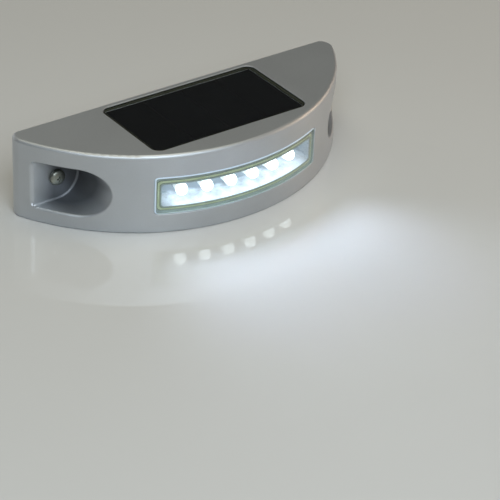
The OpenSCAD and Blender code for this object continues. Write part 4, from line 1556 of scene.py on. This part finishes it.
LAMPS = (
    Lamp("key_lamp", (-0.34, -0.76, 0.8), (0.8, 0.62), 9.2, (0.82, 0.92, 1.0)),
    Lamp("right_lamp", (0.95, -0.3, 0.3), (0.55, 0.5), 2.2, (1.0, 0.74, 0.52)),
    Lamp("top_lamp", (0.0, 0.05, 1.25), (0.9, 0.9), 5.2, (1.0, 0.96, 0.77)),
    Lamp("back_lamp", (-0.25, 1.1, 0.4), (1.1, 0.7), 1.5, (1.0, 0.99, 0.97)),
    Lamp("under_lamp", (-0.25, -0.4, -0.9), (0.7, 0.7), 9.0, (1.0, 0.99, 0.98)),
)


@dataclass
class Studio:
    """A plain pale floor that runs up to a pale surround, soft lamps and an even sky."""

    floor_colour: Colour = (0.63, 0.62, 0.6)
    floor_shade: float = 0.985
    floor_radius: float = 3.5
    floor_steps: int = 180
    inner_rings: Tuple[float, ...] = (0.2, 0.6)
    curve_radius: float = 0.3
    curve_steps: int = 8
    surround_height: float = 0.5
    glow_from: float = 0.4
    glow_to: float = 2.0
    far_glow: float = 0.5
    opening_inset: float = 2.5
    opening_half: float = 73.0
    gloss_roughness: float = 0.025
    gloss_swing: float = 0.015
    far_roughness: float = 0.75
    gloss_to: float = 0.115
    dull_from: float = 0.55
    sky: float = 0.03
    sky_colour: Colour = (0.95, 0.97, 1.0)
    throw_power: float = 0.0044
    throw_colour: Colour = (0.66, 0.78, 1.0)
    throw_size: Point2 = (0.022, 0.009)
    throw_spread: float = 62.0
    throw_outside: float = 1.0
    throw_ahead: float = 100.0
    throw_down: float = 14.0
    throw_angles: Tuple[float, ...] = (-18.84, -11.3, -3.77, 3.77, 11.3, 18.84)

    def floor_material(self) -> bpy.types.Material:
        """The paper of the floor and the surround: it is lit from behind far from the light.

        Returns:
            The material.
        """
        paper = Finish("studio_paper", self.floor_colour, darker(self.floor_colour, self.floor_shade),
                       self.gloss_roughness, self.gloss_swing, grain=Grain.SMOOTH, grain_mm=3, depth_mm=0.01,
                       patch_mm=120)
        recipe = Recipe(paper.name)
        paper.surface(recipe)
        glow = recipe.spread(recipe.reach(0.0), 0.0, self.far_glow, self.glow_from, self.glow_to)
        dull = recipe.spread(recipe.reach(0.0), 0.0, self.far_roughness, self.gloss_to, self.dull_from)
        recipe.feed(Emission_Strength=glow, Roughness=recipe.sum_up("ADD", dull, recipe.fed("Roughness")))
        return recipe.material

    def opening(self, angle: float) -> float:
        """How far the opening under the light, which shows the underside, reaches from the floor's centre.

        Args:
            angle: the direction, in radians.

        Returns:
            The distance in metres, to a line just inside the light's outline.
        """
        way_x, way_y = math.cos(angle), math.sin(angle)
        bow = PLAN.radius - self.opening_inset
        reach = way_y * PLAN.centre_y + math.sqrt(bow ** 2 - (way_x * PLAN.centre_y) ** 2)
        if abs(way_x) > 0.01:
            reach = min(reach, self.opening_half / abs(way_x))
        if way_y > 0.01:
            reach = min(reach, (PLAN.back_y - self.opening_inset) / way_y)
        return reach * MM

    def floor(self) -> Item:
        """Makes the round floor sheet with its opening and its turned-up surround.

        Returns:
            The floor.
        """
        mesh = bmesh.new()
        turns = [math.tau * i / self.floor_steps for i in range(self.floor_steps)]
        ways = [(math.cos(angle), math.sin(angle)) for angle in turns]
        reaches = [self.opening(angle) for angle in turns]
        rings = [[mesh.verts.new((reach * x, reach * y, 0.0)) for reach, (x, y) in zip(reaches, ways)]]
        radii = [(radius, 0.0) for radius in (*self.inner_rings, self.floor_radius - self.curve_radius)]
        for i in range(1, self.curve_steps + 1):
            angle = math.pi / 2 * i / self.curve_steps
            radii.append((self.floor_radius - self.curve_radius * (1 - math.sin(angle)),
                          self.curve_radius * (1 - math.cos(angle))))
        radii.append((self.floor_radius, self.surround_height))
        for radius, height in radii:
            rings.append([mesh.verts.new((radius * x, radius * y, height)) for x, y in ways])
        Workshop.bridge(mesh, rings)
        bmesh.ops.recalc_face_normals(mesh, faces=mesh.faces)
        data = bpy.data.meshes.new("studio_floor")
        mesh.to_mesh(data)
        mesh.free()
        data.shade_smooth()
        sheet = Workshop.enter("studio_floor", data)
        Workshop.coat(sheet, self.floor_material())
        return sheet

    def lens_throw(self) -> None:
        """The patch of light that the lit lens throws on the floor in front, from lamps just outside it."""
        for number, degrees in enumerate(self.throw_angles):
            angle = math.radians(degrees)
            way = Vector((math.sin(angle), -math.cos(angle), 0))
            start = Vector((0, PLAN.centre_y, PLAN.lamp_level)) + way * (PLAN.radius + self.throw_outside)
            aim = start + way * self.throw_ahead - Vector((0, 0, self.throw_down))
            item = Lamp(f"lens_throw_{number}", start * MM, self.throw_size, self.throw_power,
                        self.throw_colour, aim * MM).hang()
            item.data.spread = math.radians(self.throw_spread)
            item.visible_glossy = item.visible_transmission = False

    def sky_light(self) -> None:
        """An even pale sky."""
        world = bpy.data.worlds.new("studio_sky")
        world.use_nodes = True
        bpy.context.scene.world = world
        back = world.node_tree.nodes["Background"]
        back.inputs["Color"].default_value = (*self.sky_colour, 1.0)
        back.inputs["Strength"].default_value = self.sky

    def build(self) -> None:
        """Sets up floor, sky and lamps. The lamp under the floor shows the underside through the opening."""
        self.floor()
        self.sky_light()
        for lamp in LAMPS:
            lamp.hang()
        self.lens_throw()


@dataclass
class PhotoCamera:
    """The camera at the photograph's angle, as fitted to the light's outline."""

    azimuth: float = -36.909
    elevation: float = 31.887
    roll: float = 2.36
    distance: float = 993.997
    focal_pixels: float = 2386.204
    aside: float = 18.144
    above: float = -43.825
    target: Tuple[float, float, float] = (0.0, 3.0, 19.0)
    sensor: float = 36.0
    picture: float = 500.0
    nearest: float = 0.05
    farthest: float = 20.0

    def build(self) -> Item:
        """Makes the scene's camera.

        Returns:
            The camera.
        """
        az, el, turn = (math.radians(v) for v in (self.azimuth, self.elevation, self.roll))
        back = Vector((math.sin(az) * math.cos(el), -math.cos(az) * math.cos(el), math.sin(el)))
        right = Vector((math.cos(az), math.sin(az), 0.0))
        up = back.cross(right)
        across = right * math.cos(turn) + up * math.sin(turn)
        upward = up * math.cos(turn) - right * math.sin(turn)
        aim = Vector(self.target) + across * self.aside + upward * self.above
        data = bpy.data.cameras.new("photo_camera")
        data.sensor_width = self.sensor
        data.lens = self.focal_pixels / self.picture * self.sensor
        data.clip_start, data.clip_end = self.nearest, self.farthest
        camera = Workshop.enter("photo_camera", data)
        placed = Matrix((across, upward, back)).transposed().to_4x4()
        placed.translation = (aim + back * self.distance) * MM
        camera.matrix_world = placed
        bpy.context.scene.camera = camera
        return camera


def main() -> None:
    """Builds the light piece by piece, then the studio and the camera."""
    logging.basicConfig(level=logging.INFO, format="%(name)s: %(message)s")
    bpy.context.scene.view_settings.view_transform = "Standard"
    PhotoCamera().build()
    paint = Paintbox()
    paint.dress_frame()
    for maker in (HousingShell(), SolarWindow(), BowedLens(), LensFrame(), WallScrews()):
        item = maker.build(paint)
        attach(item, LIGHT_BODY)
        LOG.info("%s: %d faces", item.name, len(item.data.polygons))
    Studio().build()


if __name__ == "__main__":
    main()
